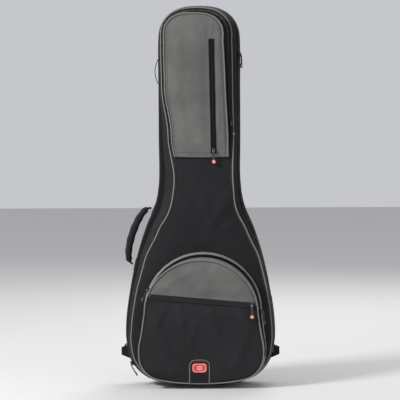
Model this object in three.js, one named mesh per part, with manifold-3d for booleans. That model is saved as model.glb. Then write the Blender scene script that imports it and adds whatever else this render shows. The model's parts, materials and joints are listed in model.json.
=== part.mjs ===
// A padded gig bag for a full-size guitar, standing upright on its bottom end.
// Millimetres. +Z runs up the bag, the pockets face -Y, and the back with its shoulder straps faces +Y.
// The origin is the middle of the flat patch that the bag stands on.
import * as THREE from 'three';
import { mergeVertices } from 'three/addons/utils/BufferGeometryUtils.js';
import Module from 'manifold-3d';

// ---------------------------------------------------------------- driving sizes
const bagLength = 1090;
const boutHalf = 214; // half width of the lower bout
const boutHeight = 175; // height where the bout is widest
const neckHalf = 117; // half width of the neck and head
const neckHeight = 590; // height where the neck's sides become straight
const headHeight = 105; // height of the rounded top of the head
const headSquareness = 2.5; // exponent of the rounded top: 2 is an ellipse
const bottomSag = 8; // how much of the rounded bottom the bag's weight presses flat
const frontY = -60; // outer face of the front panel
const widestY = -10; // depth where the outline is widest
const zipY = -32; // centre plane of the main zip
const backY = 60; // outer face of the back panel
const rearInset = 8; // how far the back edge sits inside the gusset's widest line

const wall = 12; // padded gusset
const shellThickness = 2;
const foamThickness = 8;
const liningThickness = 2;
const gap = 0.3; // sewn pieces touch, and their solids keep this far apart
const pipingRadius = 2.4;
const zipWidth = 16; // both tapes of the main zip together
const tapeThickness = 3;
const clothThickness = 2.5; // side walls of the pockets
const panelCloth = 1.6; // front faces of the pockets

const lidPlay = 2.5; // from the widest side to the lid's folding line
const neckCradleLength = 100;
const cradleFloor = 14;
const cradleDrop = 13; // from the widest depth back to the cradle's top
const neckRoom = 34; // half width of the cradle's saddle
const neckStrapWidth = 50;
const neckStrapThickness = 3;
const endPadShare = 0.514; // the end pad's width, against half the bout's
const endPadHeight = 22;
const endPadRise = 3; // above the flat inside of the bottom

const upperPocketBottom = 659;
const upperPocketDepth = 40;
const upperPocketHem = 4; // depth left at the pocket's bottom edge
const upperPocketLean = 9.5; // how far the front edge of the pocket sits inside its seam
const upperPocketSway = 7.5; // how far the front of the pocket sags sideways
const pocketMargin = 6; // from the front panel's piping to a pocket's seam
const pocketPiping = 1.8; // radius
const overlayThickness = 1.2; // a zip sewn over a pocket's side wall
const upperZipShares = [0.52, 0.86]; // where that zip lies, from the seam to the front
const upperZipFoot = 0.264; // lower end of that zip's travel, as a share of the pocket's height
const upperZipLift = 1.9; // slider clear of the sewn-on zip's faceted surface
const frontZipWidth = 16;
const frontZipThickness = 1.6;

const lowerPocketRadius = 169;
const lowerPocketCentre = new THREE.Vector2(8, 218); // centre of the arch, as x and z
const lowerPocketHalf = lowerPocketRadius + 12; // half width near the bottom
const lowerPocketBottom = 10;
const lowerPocketDepth = 55;
const lowerPocketLean = 19; // how far the front of the arch sits inside its seam
const lowerPocketSideLean = 9;
const lowerPocketFlare = 11; // how far the front rim's sides spread again
const lowerPocketShift = -6; // and how far they sway sideways
const lowerZipSlope = THREE.MathUtils.degToRad(-5);
const lowerZipHeight = 251; // height of the front zip below the arch's centre line

const badgeTabWidth = 58;
const badgeTabHeight = 62;
const badgeTabRadius = 14;
const badgeTabRise = 12; // above the pocket's bottom edge
const badgeTabOffset = -3; // sideways from the bag's middle
const badgeWidth = 40;
const badgeHeight = 26;
const badgeRadius = 8;
const badgeThickness = 2; // the tab's too
const badgeLift = 8; // from the tab's middle up to the badge's

const handleReach = 38; // from the gusset to the grip's centre
const handleTop = 505;
const handleBottom = 345;
const handleY = 22;
const gripRadii = new THREE.Vector2(11, 12.5);

const strapWidth = 64;
const strapThickness = 13;
const strapTop = 648;
const strapEnd = 330;
const strapBow = 20; // how far a strap stands off the back in the middle
const strapInner = 38; // from the bag's middle to a strap's centre at its top
const strapOuter = 92; // and at its lower end
const strapTaper = 12; // how much narrower a strap is at its lower end
const strapTabHalf = 24;
const strapTabReach = 26;
const strapTabThickness = 3;
const strapTabHeight = 88;
const yokeWidth = 150;
const yokeHeight = 46;
const yokeThickness = 3;
const webbingWidth = 30;
const webbingThickness = 2;
const webbingBow = 6;

const anchorThickness = 2.4;
const anchorClearance = 1.5; // from an anchor patch's flat back to the curved gusset
const gripTaper = 0.4; // the grip's thickness at its ends, against its middle
const neckLoopHeight = 903;
const neckLoopWidth = 18;
const neckLoopLength = 70;
const neckLoopY = 40;
const neckLoopStand = 9; // how far the loop bows out from its sewn ends
const neckLoopClearance = 6; // room for the loop's edges to turn beside the curved gusset

const sliderHeight = 4;
const bailHeight = 2.2;
const pullLength = 27;
const pullTipRadius = 6.8;
const pullTipThickness = 3.6;
const tapeLift = 0.6; // from the tape's faceted surface to a slider
const mainZipLift = 1.2; // more for the main zip, whose cloth leans towards the front
const archLift = 2.7;
const mainSliderHeight = 950;
const cornerSliderHeight = 66;
const upperSideSliderShare = 0.295; // of the upper pocket's height

// ---------------------------------------------------------------- small tools
const wasm = await Module();
wasm.setup();
const bag = new THREE.Group();
const V = (x, y, z) => new THREE.Vector3(x, y, z);
const lerp = THREE.MathUtils.lerp;

const LOOK = {
  blackCloth: { color: 0x24252a, roughness: 0.85, metalness: 0 },
  greyCloth: { color: 0x5d5d5b, roughness: 0.9, metalness: 0 },
  paleTrim: { color: 0x85837d, roughness: 0.7, metalness: 0 },
  lining: { color: 0x3a3b40, roughness: 0.95, metalness: 0 },
  foam: { color: 0x6a6a70, roughness: 0.95, metalness: 0 },
  tape: { color: 0x101014, roughness: 0.6, metalness: 0 },
  metal: { color: 0x1b1b1e, roughness: 0.35, metalness: 0.8 },
  rubber: { color: 0x1d1d20, roughness: 0.5, metalness: 0 },
  red: { color: 0xc8321f, roughness: 0.45, metalness: 0 },
  plastic: { color: 0x151517, roughness: 0.4, metalness: 0 },
};

function add(name, geometry, look) {
  const mesh = new THREE.Mesh(geometry, new THREE.MeshStandardMaterial(look));
  mesh.name = name;
  bag.add(mesh);
  return mesh;
}

function signedVolume(geometry) {
  const p = geometry.attributes.position;
  const index = geometry.index.array;
  const corner = (i) => new THREE.Vector3().fromBufferAttribute(p, index[i]);
  let sum = 0;
  for (let i = 0; i < index.length; i += 3) {
    sum += corner(i).dot(corner(i + 1).cross(corner(i + 2)));
  }
  return sum / 6;
}

// Skins a row of polygons into one solid. Each polygon has an even number of corners, the second half
// running back beside the first, so that an open row's ends close as strips.
function skin(sections, closed) {
  const sides = sections[0].length;
  const count = sections.length;
  const flat = sections.flat().flatMap((p) => [p.x, p.y, p.z]);
  const index = [];
  const quad = (a, b, c, d) => index.push(a, b, c, a, c, d);
  for (let s = 0; s < (closed ? count : count - 1); s++) {
    const here = s * sides;
    const next = ((s + 1) % count) * sides;
    for (let k = 0; k < sides; k++) {
      const l = (k + 1) % sides;
      quad(here + k, here + l, next + l, next + k);
    }
  }
  if (!closed) {
    const last = (count - 1) * sides;
    for (let k = 0; k + 1 < sides / 2; k++) {
      const m = sides - 1 - k;
      quad(m, m - 1, k + 1, k);
      quad(last + k, last + k + 1, last + m - 1, last + m);
    }
  }
  const geometry = new THREE.BufferGeometry();
  geometry.setAttribute('position', new THREE.Float32BufferAttribute(flat, 3));
  geometry.setIndex(index);
  if (signedVolume(geometry) < 0) {
    geometry.setIndex(index.reverse());
  }
  geometry.computeVertexNormals();
  return geometry;
}

function toSolid(geometry) {
  const plain = geometry.clone();
  plain.deleteAttribute('normal');
  plain.deleteAttribute('uv');
  const merged = mergeVertices(plain, 1e-3);
  return new wasm.Manifold(new wasm.Mesh({
    numProp: 3,
    vertProperties: merged.attributes.position.array,
    triVerts: new Uint32Array(merged.index.array),
  }));
}

function fromSolid(solid) {
  const mesh = solid.getMesh();
  const geometry = new THREE.BufferGeometry();
  geometry.setAttribute('position', new THREE.BufferAttribute(new Float32Array(mesh.vertProperties), 3));
  geometry.setIndex(new THREE.BufferAttribute(new Uint32Array(mesh.triVerts), 1));
  geometry.computeVertexNormals();
  return geometry;
}

const subtract = (a, b) => fromSolid(toSolid(a).subtract(toSolid(b)));
const join = (...all) => fromSolid(all.map(toSolid).reduce((a, b) => a.add(b)));

// A flat plate whose outline is given as points with x and z, from depth y0 back to y1.
function plate(points, y0, y1) {
  const shape = new THREE.Shape(points.map((p) => new THREE.Vector2(p.x, p.z)));
  const geometry = new THREE.ExtrudeGeometry(shape, { depth: y1 - y0, bevelEnabled: false });
  return geometry.rotateX(Math.PI / 2).translate(0, y1, 0);
}

function roundedBox(width, height, depth, radius) {
  const shape = new THREE.Shape();
  const w = width / 2;
  const h = height / 2;
  shape.moveTo(-w + radius, -h);
  shape.lineTo(w - radius, -h);
  shape.absarc(w - radius, -h + radius, radius, -Math.PI / 2, 0);
  shape.lineTo(w, h - radius);
  shape.absarc(w - radius, h - radius, radius, 0, Math.PI / 2);
  shape.lineTo(-w + radius, h);
  shape.absarc(-w + radius, h - radius, radius, Math.PI / 2, Math.PI);
  shape.lineTo(-w, -h + radius);
  shape.absarc(-w + radius, -h + radius, radius, Math.PI, Math.PI * 1.5);
  const geometry = new THREE.ExtrudeGeometry(shape, { depth, bevelEnabled: false, curveSegments: 3 });
  return geometry.translate(0, 0, -depth / 2);
}

// Places a geometry made about its own x, y, z in the frame of three directions at a point.
function place(geometry, at, x, y, z) {
  const frame = new THREE.Matrix4().makeBasis(x, y, z).setPosition(at);
  return geometry.applyMatrix4(frame);
}

// ---------------------------------------------------------------- the bag's outline
// Rows up the right side: half width and height on the zip's plane, then how far the front
// panel's edge sits inside that, and how far the front sags sideways.
const bout = (share) => lerp(neckHalf, boutHalf, share);
const up = (share) => lerp(boutHeight, neckHeight, share);
const SIDE_ROWS = [
  { half: boutHalf * 0.463, z: boutHeight * 0.08 - bottomSag, inset: 6, sway: 3 },
  { half: boutHalf * 0.748, z: boutHeight * 0.2 - bottomSag, inset: 9, sway: 3 },
  { half: boutHalf * 0.93, z: boutHeight * 0.44 - bottomSag, inset: 12, sway: 3 },
  { half: boutHalf * 0.995, z: boutHeight * 0.72, inset: 13, sway: 3 },
  { half: boutHalf, z: boutHeight, inset: 15, sway: 4 },
  { half: bout(0.907), z: up(0.193), inset: 16, sway: 5 },
  { half: bout(0.68), z: up(0.458), inset: 20, sway: 7 },
  { half: bout(0.39), z: up(0.675), inset: 32, sway: 8 },
  { half: bout(0.11), z: up(0.835), inset: 38, sway: 10 },
  { half: neckHalf, z: neckHeight, inset: 36, sway: 12 },
];
const headBase = bagLength - headHeight;
for (const [share, inset, sway] of [[0.33, 26, 4], [0.68, 18, -7], [1, 18, -9]]) {
  SIDE_ROWS.push({ half: neckHalf, z: lerp(neckHeight, headBase, share), inset, sway });
}
const headSteps = 6;
for (let i = 1; i < headSteps; i++) {
  const turn = (i / headSteps) * (Math.PI / 2);
  SIDE_ROWS.push({
    half: neckHalf * Math.cos(turn) ** (2 / headSquareness),
    z: headBase + headHeight * Math.sin(turn) ** (2 / headSquareness),
    inset: lerp(18, 7, Math.sin(turn)),
    sway: -9,
  });
}
const mirrored = (row) => ({ ...row, half: -row.half });
const ROWS = [
  { half: 0, z: -bottomSag, inset: 5, sway: 2 },
  ...SIDE_ROWS,
  { half: 0, z: bagLength, inset: 7, sway: -9 },
  ...SIDE_ROWS.map(mirrored).reverse(),
];

const perRow = 2; // stations from one row to the next
const stations = ROWS.length * perRow;
const middleCurve = new THREE.CatmullRomCurve3(ROWS.map((r) => V(r.half, 0, r.z)), true);

function between(name, station) {
  const at = station / perRow;
  const low = Math.floor(at);
  const a = ROWS[low % ROWS.length][name];
  const b = ROWS[(low + 1) % ROWS.length][name];
  return lerp(a, b, THREE.MathUtils.smoothstep(at - low, 0, 1));
}

// Outward directions in the x-z plane of a loop of points that runs anticlockwise seen from the front.
function outward(loop, closed = true) {
  const n = loop.length;
  return loop.map((p, i) => {
    const before = closed ? loop[(i + n - 1) % n] : loop[Math.max(i - 1, 0)];
    const after = closed ? loop[(i + 1) % n] : loop[Math.min(i + 1, n - 1)];
    return V(after.z - before.z, 0, before.x - after.x).normalize();
  });
}

const MIDDLE = Array.from({ length: stations }, (_, i) => middleCurve.getPoint(i / stations));
const MIDDLE_OUT = outward(MIDDLE);
const FRONT = MIDDLE.map((p, i) => p.clone()
  .addScaledVector(MIDDLE_OUT[i], -between('inset', i))
  .add(V(between('sway', i), 0, 0)));
const REAR = MIDDLE.map((p, i) => p.clone().addScaledVector(MIDDLE_OUT[i], -rearInset));

// The bag's outer surface at a depth, moved inwards; the bottom stands flat at the floor's height.
function ring(y, inwards = 0, floor = inwards) {
  const front = y < widestY;
  const edge = front ? FRONT : REAR;
  const share = ((widestY - y) / (widestY - (front ? frontY : backY))) ** 2;
  const loop = MIDDLE.map((p, i) => p.clone().lerp(edge[i], share));
  const out = outward(loop);
  return loop.map((p, i) => {
    const moved = p.addScaledVector(out[i], -inwards);
    return V(moved.x, y, Math.max(moved.z, floor));
  });
}

// A wall all round the bag between two depths, with its outer face at the depths listed.
function gussetBand(depths, outerInset, thickness) {
  const outer = depths.map((y) => ring(y, outerInset));
  const inner = [...depths].reverse().map((y) => ring(y, outerInset + thickness));
  const sections = MIDDLE.map((_, i) => [...outer, ...inner].map((loop) => loop[i]));
  return skin(sections, true);
}

// A round cord sewn along a row of points.
function cordAlong(points, radius, closed) {
  const sides = 6;
  const n = points.length;
  const sections = points.map((p, i) => {
    const before = closed ? points[(i + n - 1) % n] : points[Math.max(i - 1, 0)];
    const after = closed ? points[(i + 1) % n] : points[Math.min(i + 1, n - 1)];
    const along = after.clone().sub(before).normalize();
    const side = V(0, 1, 0).cross(along).normalize();
    const top = along.clone().cross(side);
    return Array.from({ length: sides }, (_, k) => {
      const turn = (k / sides) * Math.PI * 2;
      return p.clone()
        .addScaledVector(side, radius * Math.cos(turn))
        .addScaledVector(top, radius * Math.sin(turn));
    });
  });
  return skin(sections, closed);
}

// ---------------------------------------------------------------- lid and case walls
const panelEdge = pipingRadius + 1; // a panel's edge, inside the piping's centre line
const panelFoot = 2 * pipingRadius + gap; // a panel's bottom edge, above the piping
const panelBack = frontY + shellThickness + foamThickness + liningThickness + 2 * gap;
const caseFront = backY - shellThickness - foamThickness - liningThickness - 2 * gap;
const tapeHalf = zipWidth / 2;

function addPanels(name, outsideY, sign) {
  const layers = [
    ['shell', shellThickness, panelEdge, LOOK.blackCloth],
    ['foam', foamThickness, wall + gap, LOOK.foam],
    ['lining', liningThickness, wall + gap, LOOK.lining],
  ];
  let y = outsideY;
  for (const [layer, thickness, inset, look] of layers) {
    const far = y + sign * thickness;
    const outline = ring(outsideY, inset, Math.max(inset, panelFoot));
    add(`${name}_${layer}`, plate(outline, Math.min(y, far), Math.max(y, far)), look);
    y = far + sign * gap;
  }
}

function addGussets() {
  const pipe = pipingRadius + gap;
  const frontEdge = frontY + shellThickness + pipe;
  const rearEdge = backY - shellThickness - pipe;
  const frontDepths = [frontEdge, lerp(frontEdge, zipY, 0.45), zipY - tapeHalf - gap];
  const rearDepths = [zipY + tapeHalf + gap, widestY, lerp(widestY, rearEdge, 0.6), rearEdge];
  add('front_gusset_band', gussetBand(frontDepths, 0, wall), LOOK.blackCloth);
  add('rear_gusset_band', gussetBand(rearDepths, 0, wall), LOOK.blackCloth);
  add('main_zip_tape_front', gussetBand([zipY - tapeHalf, zipY - gap / 2], 0, tapeThickness), LOOK.tape);
  add('main_zip_tape_rear', gussetBand([zipY + gap / 2, zipY + tapeHalf], 0, tapeThickness), LOOK.tape);
  const frontPath = ring(frontY + shellThickness, 0, pipingRadius);
  const rearPath = ring(backY - shellThickness, 0, pipingRadius);
  add('front_piping', cordAlong(frontPath, pipingRadius, true), LOOK.paleTrim);
  add('rear_piping', cordAlong(rearPath, pipingRadius, true), LOOK.paleTrim);
}

// ---------------------------------------------------------------- inside the case
function addNeckCradle() {
  const top = widestY + cradleDrop;
  const base = caseFront - gap;
  const half = neckHalf - wall - rearInset - 4;
  const shape = new THREE.Shape();
  shape.moveTo(-half, base);
  shape.lineTo(half, base);
  shape.lineTo(half, top);
  shape.lineTo(neckRoom, top);
  shape.absellipse(0, top, neckRoom, base - top - cradleFloor, 0, Math.PI, false);
  shape.lineTo(-half, top);
  const z0 = neckHeight + 40;
  const block = new THREE.ExtrudeGeometry(shape, {
    depth: neckCradleLength,
    bevelEnabled: false,
    curveSegments: 8,
  });
  add('neck_cradle', block.translate(0, 0, z0), LOOK.lining);
  const middle = z0 + neckCradleLength / 2;
  const length = neckRoom + 10;
  const y = top - neckStrapThickness / 2 - gap;
  for (const [name, side] of [['neck_strap_left', -1], ['neck_strap_right', 1]]) {
    const strap = new THREE.BoxGeometry(length, neckStrapThickness, neckStrapWidth);
    const mesh = add(name, strap.translate(side * (length / 2 + 0.5), y, middle), LOOK.blackCloth);
    const sewn = V(side * (length + 0.5), y, middle);
    mesh.userData.joint = { type: 'hinge', at: sewn, axis: V(0, 0, side), range: [0, 85] };
  }
}

function addEndPad() {
  const front = widestY + tapeHalf + gap;
  const depth = caseFront - front - 2 * gap;
  const pad = roundedBox(boutHalf * endPadShare, depth, endPadHeight, 10);
  const at = V(0, (front + caseFront) / 2, wall + endPadRise + endPadHeight / 2);
  add('end_pin_pad', place(pad, at, V(1, 0, 0), V(0, 1, 0), V(0, 0, 1)), LOOK.foam);
}

const widestX = Math.max(...ring(widestY).map((p) => p.x));

function addSpine() {
  const bottom = boutHeight * 0.55;
  const top = boutHeight * 1.45;
  const x = widestX + 0.6;
  const strip = new THREE.BoxGeometry(1.6, 26, top - bottom);
  add('lid_fold_strip', strip.translate(x + 0.8, widestY + 14, (top + bottom) / 2), LOOK.blackCloth);
}

// ---------------------------------------------------------------- upper pocket
const upperRise = (z) => {
  const share = (z - upperPocketBottom) / (headBase - upperPocketBottom);
  return THREE.MathUtils.clamp(share, 0, 1);
};
const upperHeight = (share) => lerp(upperPocketBottom, headBase, share);
const upperDepth = (z) => lerp(upperPocketHem, upperPocketDepth, upperRise(z));
const upperFrontY = (z) => frontY - gap - upperDepth(z);

// The upper pocket's side wall at a share of its depth, up the right, over the top and down the left.
// A margin keeps the wall short of the pocket's front edge.
function upperPocketLoop(share, margin = 0) {
  const seam = ring(frontY, pocketMargin);
  const out = outward(seam);
  const wallPoint = (p, normal) => {
    const depth = upperDepth(p.z);
    const reach = Math.min(share * depth, depth - margin);
    const lean = (reach / depth) ** 2 * lerp(0.4, 1, upperRise(p.z));
    return p.clone()
      .addScaledVector(normal, -upperPocketLean * lean)
      .add(V(-upperPocketSway * lean, -gap - reach, 0));
  };
  const above = seam.map((p, i) => i).filter((i) => seam[i].z >= upperPocketBottom);
  const first = above[0];
  const last = above[above.length - 1];
  const corner = (inside, outside) => {
    const reach = (upperPocketBottom - inside.z) / (outside.z - inside.z);
    return inside.clone().lerp(outside, reach);
  };
  const right = corner(seam[first], seam[first - 1]);
  const left = corner(seam[last], seam[last + 1]);
  return [
    wallPoint(right, V(1, 0, 0)),
    ...above.map((i) => wallPoint(seam[i], out[i])),
    wallPoint(left, V(-1, 0, 0)),
  ];
}

// A cloth strip of a pocket's side wall, between two shares of the way from its seam to its front.
function pocketStrip(loopAt, from, to, thickness, lift = 0, pick = () => true) {
  const shares = [from, (from + to) / 2, to];
  const loops = shares.map(loopAt);
  const outs = loops.map((loop) => outward(loop, false));
  const at = (k, i, inwards) => loops[k][i].clone().addScaledVector(outs[k][i], lift - inwards);
  const sections = loops[0].map((_, i) => [
    at(0, i, 0), at(1, i, 0), at(2, i, 0),
    at(2, i, thickness), at(1, i, thickness), at(0, i, thickness),
  ]).filter((_, i) => pick(loops[1][i], i));
  return skin(sections, false);
}

function addUpperPocket() {
  const short = (share) => upperPocketLoop(share, pocketPiping + gap);
  add('upper_pocket_gusset', pocketStrip(short, 0, 1, clothThickness), LOOK.blackCloth);
  const overRight = (p) => p.x > -neckHalf * 0.3 && p.z > upperPocketBottom + 20;
  const [zipFrom, zipTo] = upperZipShares;
  const lift = overlayThickness + 2 * gap;
  const zip = pocketStrip(upperPocketLoop, zipFrom, zipTo, overlayThickness, lift, overRight);
  add('upper_pocket_gusset_zip', zip, LOOK.tape);
  const front = upperPocketLoop(1);
  add('upper_pocket_piping', cordAlong(front, pocketPiping, false), LOOK.paleTrim);
  const out = outward(front, false);
  const edge = front.map((p, i) => p.clone().addScaledVector(out[i], -pocketPiping - gap));
  add('upper_pocket_panel', panelOver(edge, upperFrontY, panelCloth), LOOK.greyCloth);
}

// A pocket's front cloth: each pair of edge points at about one height is bridged across.
function panelOver(edge, frontAt, thickness) {
  const n = edge.length;
  const rows = [];
  for (let i = 0; i < Math.floor(n / 2); i++) {
    const right = edge[i];
    const left = edge[n - 1 - i];
    const y = (p) => frontAt(p.z);
    rows.push([
      V(right.x, y(right), right.z), V(left.x, y(left), left.z),
      V(left.x, y(left) + thickness, left.z), V(right.x, y(right) + thickness, right.z),
    ]);
  }
  return skin(rows, false);
}

// A straight zip laid on a flat pocket face, from one point to another.
function zipOnFace(name, from, to, normal) {
  const along = to.clone().sub(from);
  const length = along.length();
  along.normalize();
  const across = along.clone().cross(normal).normalize();
  const middle = from.clone().add(to).multiplyScalar(0.5);
  const strip = new THREE.BoxGeometry(frontZipWidth, length, frontZipThickness);
  const at = middle.addScaledVector(normal, frontZipThickness / 2 + gap);
  add(name, place(strip, at, across, along, normal), LOOK.tape);
}

// ---------------------------------------------------------------- lower pocket
const archSteps = 24;
const tailSteps = 2;
function lowerPocketLoop(share) {
  const lean = share ** 2;
  const flare = share ** 6;
  const height = lowerPocketRadius - lowerPocketLean * lean;
  const radius = height + lowerPocketFlare * flare;
  const half = lowerPocketHalf - lowerPocketSideLean * lean + lowerPocketFlare * flare / 2;
  const bottom = lowerPocketBottom + 6 * lean;
  const c = V(lowerPocketCentre.x + lowerPocketShift * flare, lowerPocketCentre.y, 0);
  const y = frontY - gap - lowerPocketDepth * share;
  const loop = [];
  for (let i = 0; i <= archSteps; i++) {
    const turn = (i / archSteps) * Math.PI;
    loop.push(V(c.x + radius * Math.cos(turn), y, c.y + height * Math.sin(turn)));
  }
  const right = [
    [radius, c.y], [lerp(radius, half, 0.5), c.y * 0.74], [half, c.y * 0.5], [half * 0.96, c.y * 0.3],
    [half * 0.8, c.y * 0.13 + bottom * 0.4], [half * 0.5, bottom + 5], [half * 0.17, bottom],
  ];
  const left = right.map(([x, z]) => [-x, z]);
  const tail = [...left, ...right.reverse()].map(([x, z]) => V(c.x + x, y, z));
  const curve = new THREE.CatmullRomCurve3(tail);
  const count = (tail.length - 1) * tailSteps;
  for (let i = 1; i < count; i++) loop.push(curve.getPoint(i / count));
  return loop;
}

const zipTail = 4; // stations that the gusset zip runs on below the arch on each side
const lowerCount = lowerPocketLoop(0).length;
const turned = (loop, start, count) => Array.from(
  { length: count },
  (_, i) => loop[(start + i + loop.length) % loop.length],
);
const archLoop = (share) => turned(lowerPocketLoop(share), -zipTail, archSteps + 1 + 2 * zipTail);
const bottomLoop = (share) => turned(
  lowerPocketLoop(share),
  archSteps + zipTail,
  lowerCount - archSteps - 2 * zipTail + 1,
);
const lowerZipShares = [0.5, 0.8];
const lowerFrontShare = 1 - (pocketPiping + gap) / lowerPocketDepth;
const lowerFrontY = frontY - gap - lowerPocketDepth;

function addLowerPocket() {
  const [zipFrom, zipTo] = lowerZipShares;
  const seam = gap / lowerPocketDepth;
  const strip = (loop, from, to) => pocketStrip(loop, from, to, clothThickness);
  add('lower_pocket_gusset_rear', strip(archLoop, 0, zipFrom - seam), LOOK.paleTrim);
  add('lower_pocket_gusset_zip', strip(archLoop, zipFrom, zipTo), LOOK.tape);
  add('lower_pocket_gusset_front', strip(archLoop, zipTo + seam, lowerFrontShare), LOOK.greyCloth);
  const bottom = (share) => {
    const loop = bottomLoop(share);
    const trim = gap * 2;
    loop[0] = loop[0].clone().lerp(loop[1], trim / loop[0].distanceTo(loop[1]));
    const n = loop.length - 1;
    loop[n] = loop[n].clone().lerp(loop[n - 1], trim / loop[n].distanceTo(loop[n - 1]));
    return loop;
  };
  add('lower_pocket_gusset_bottom', strip(bottom, 0, lowerFrontShare), LOOK.greyCloth);
  const rim = lowerPocketLoop(1);
  add('lower_pocket_piping', cordAlong(rim, pocketPiping, true), LOOK.paleTrim);

  const out = outward(rim);
  const face = rim.map((p, i) => p.clone().addScaledVector(out[i], -pocketPiping - gap));
  const whole = plate(face, lowerFrontY, lowerFrontY + panelCloth);
  const size = 600;
  const divider = (side) => {
    const block = new THREE.BoxGeometry(size, size, size);
    block.translate(0, 0, side * (size / 2 - gap));
    block.rotateY(-lowerZipSlope);
    return block.translate(lowerPocketCentre.x, 0, lowerZipHeight);
  };
  add('lower_pocket_top_panel', subtract(whole, divider(-1)), LOOK.greyCloth);
  add('lower_pocket_bottom_panel', subtract(whole, divider(1)), LOOK.blackCloth);
}

// ---------------------------------------------------------------- badge
function addBadge() {
  const z = lowerPocketBottom + badgeTabRise + badgeTabHeight / 2;
  const at = V(badgeTabOffset, lowerFrontY - gap - badgeThickness / 2, z);
  const sideways = V(1, 0, 0);
  const upwards = V(0, 0, 1);
  const towards = V(0, -1, 0);
  const tab = roundedBox(badgeTabWidth, badgeTabHeight, badgeThickness, badgeTabRadius);
  add('badge_tab', place(tab, at, sideways, upwards, towards), LOOK.blackCloth);
  const badge = roundedBox(badgeWidth, badgeHeight, badgeThickness, badgeRadius);
  const badgeAt = at.clone().add(V(0, -badgeThickness - gap, badgeLift));
  add('badge', place(badge, badgeAt, sideways, upwards, towards), LOOK.red);
}

// ---------------------------------------------------------------- sliders and pulls
// The point of a loop at a height on its left (-1) or right (1) side, with the outward direction there.
function pointAt(loop, z, side) {
  const out = outward(loop);
  const n = loop.length;
  const centre = loop.reduce((sum, p) => sum + p.x, 0) / n;
  for (let i = 0; i < n; i++) {
    const a = loop[i];
    const b = loop[(i + 1) % n];
    const onSide = (a.x - centre) * side > 0 && (b.x - centre) * side > 0;
    if (onSide && (a.z - z) * (b.z - z) <= 0 && a.z !== b.z) {
      const share = (z - a.z) / (b.z - a.z);
      return { at: a.clone().lerp(b, share), out: out[i].clone().lerp(out[(i + 1) % n], share).normalize() };
    }
  }
  throw new Error(`the loop has no point at height ${z}`);
}

// The centre, in the x-z plane, of the circle through three points.
function circleCentre(a, b, c) {
  const square = (p) => p.x * p.x + p.z * p.z;
  const d = 2 * (a.x * (b.z - c.z) + b.x * (c.z - a.z) + c.x * (a.z - b.z));
  return V(
    (square(a) * (b.z - c.z) + square(b) * (c.z - a.z) + square(c) * (a.z - b.z)) / d,
    b.y,
    (square(a) * (c.x - b.x) + square(b) * (a.x - c.x) + square(c) * (b.x - a.x)) / d,
  );
}

// A slider on a zip: travel is the zip's direction, hang the way its pull lies, and normal points
// away from the bag. track says how it moves: a slide along a direction or a hinge about a centre.
function addSlider(name, { at, travel, hang, normal, lift, track }) {
  const n = normal.clone().normalize();
  const u = travel.clone().normalize();
  const body = roundedBox(9, 14, sliderHeight, 3);
  const bail = roundedBox(3, 9, bailHeight + 0.4, 1.2).translate(0, 0, (sliderHeight + bailHeight) / 2 - 0.2);
  const base = at.clone().addScaledVector(n, sliderHeight / 2 + gap + lift);
  const slider = add(`${name}_slider`, place(join(body, bail), base, u.clone().cross(n), u, n), LOOK.metal);
  slider.userData.joint = track;

  const away = hang.clone().addScaledVector(n, -hang.dot(n)).normalize().negate();
  const tab = roundedBox(5, pullLength, 2, 1.6).translate(0, -pullLength / 2, 0);
  const tip = new THREE.CylinderGeometry(pullTipRadius, pullTipRadius, pullTipThickness, 14);
  tip.rotateX(Math.PI / 2).translate(0, -pullLength - pullTipRadius + 2, 0);
  const pivot = base.clone().addScaledVector(n, sliderHeight / 2 + bailHeight + gap + 1);
  const side = away.clone().cross(n);
  const pull = add(`${name}_pull`, place(join(tab, tip), pivot, side, away, n), LOOK.rubber);
  pull.userData.joint = { type: 'hinge', at: pivot, axis: side.negate(), range: [0, 150] };
}

const down = V(0, 0, -1);
const degrees = THREE.MathUtils.radToDeg;

function addMainSliders() {
  const loop = ring(zipY);
  const ahead = ring(zipY - 1);
  // The outward direction of the zip at a point: its cloth leans back towards the front panel.
  const leaning = ({ at, out }, z, side) => {
    const drop = pointAt(ahead, z, side).at.sub(at).dot(out);
    return out.clone().add(V(0, drop, 0)).normalize();
  };
  const upper = pointAt(loop, mainSliderHeight, 1);
  const top = pointAt(loop, headBase - 10, 1).at;
  const low = pointAt(loop, neckHeight + 20, 1).at;
  const run = low.clone().sub(top).normalize();
  addSlider('main_zip_a', {
    at: upper.at,
    travel: run,
    hang: run,
    normal: leaning(upper, mainSliderHeight, 1).projectOnPlane(run),
    lift: tapeLift + mainZipLift,
    track: { type: 'slide', axis: run, range: [-upper.at.distanceTo(top), upper.at.distanceTo(low)] },
  });
  const { at, out } = pointAt(loop, cornerSliderHeight, -1);
  const swing = 26;
  const below = pointAt(loop, cornerSliderHeight - swing, -1).at;
  const above = pointAt(loop, cornerSliderHeight + swing, -1).at;
  const centre = circleCentre(below, at, above);
  const along = V(-out.z, 0, out.x);
  const reach = degrees(swing / at.distanceTo(centre));
  addSlider('main_zip_b', {
    at,
    travel: along,
    hang: along.z < 0 ? along : along.clone().negate(),
    normal: leaning({ at, out }, cornerSliderHeight, -1),
    lift: tapeLift + mainZipLift,
    track: { type: 'hinge', at: centre, axis: V(0, 1, 0), range: [-reach, reach] },
  });
}

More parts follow.
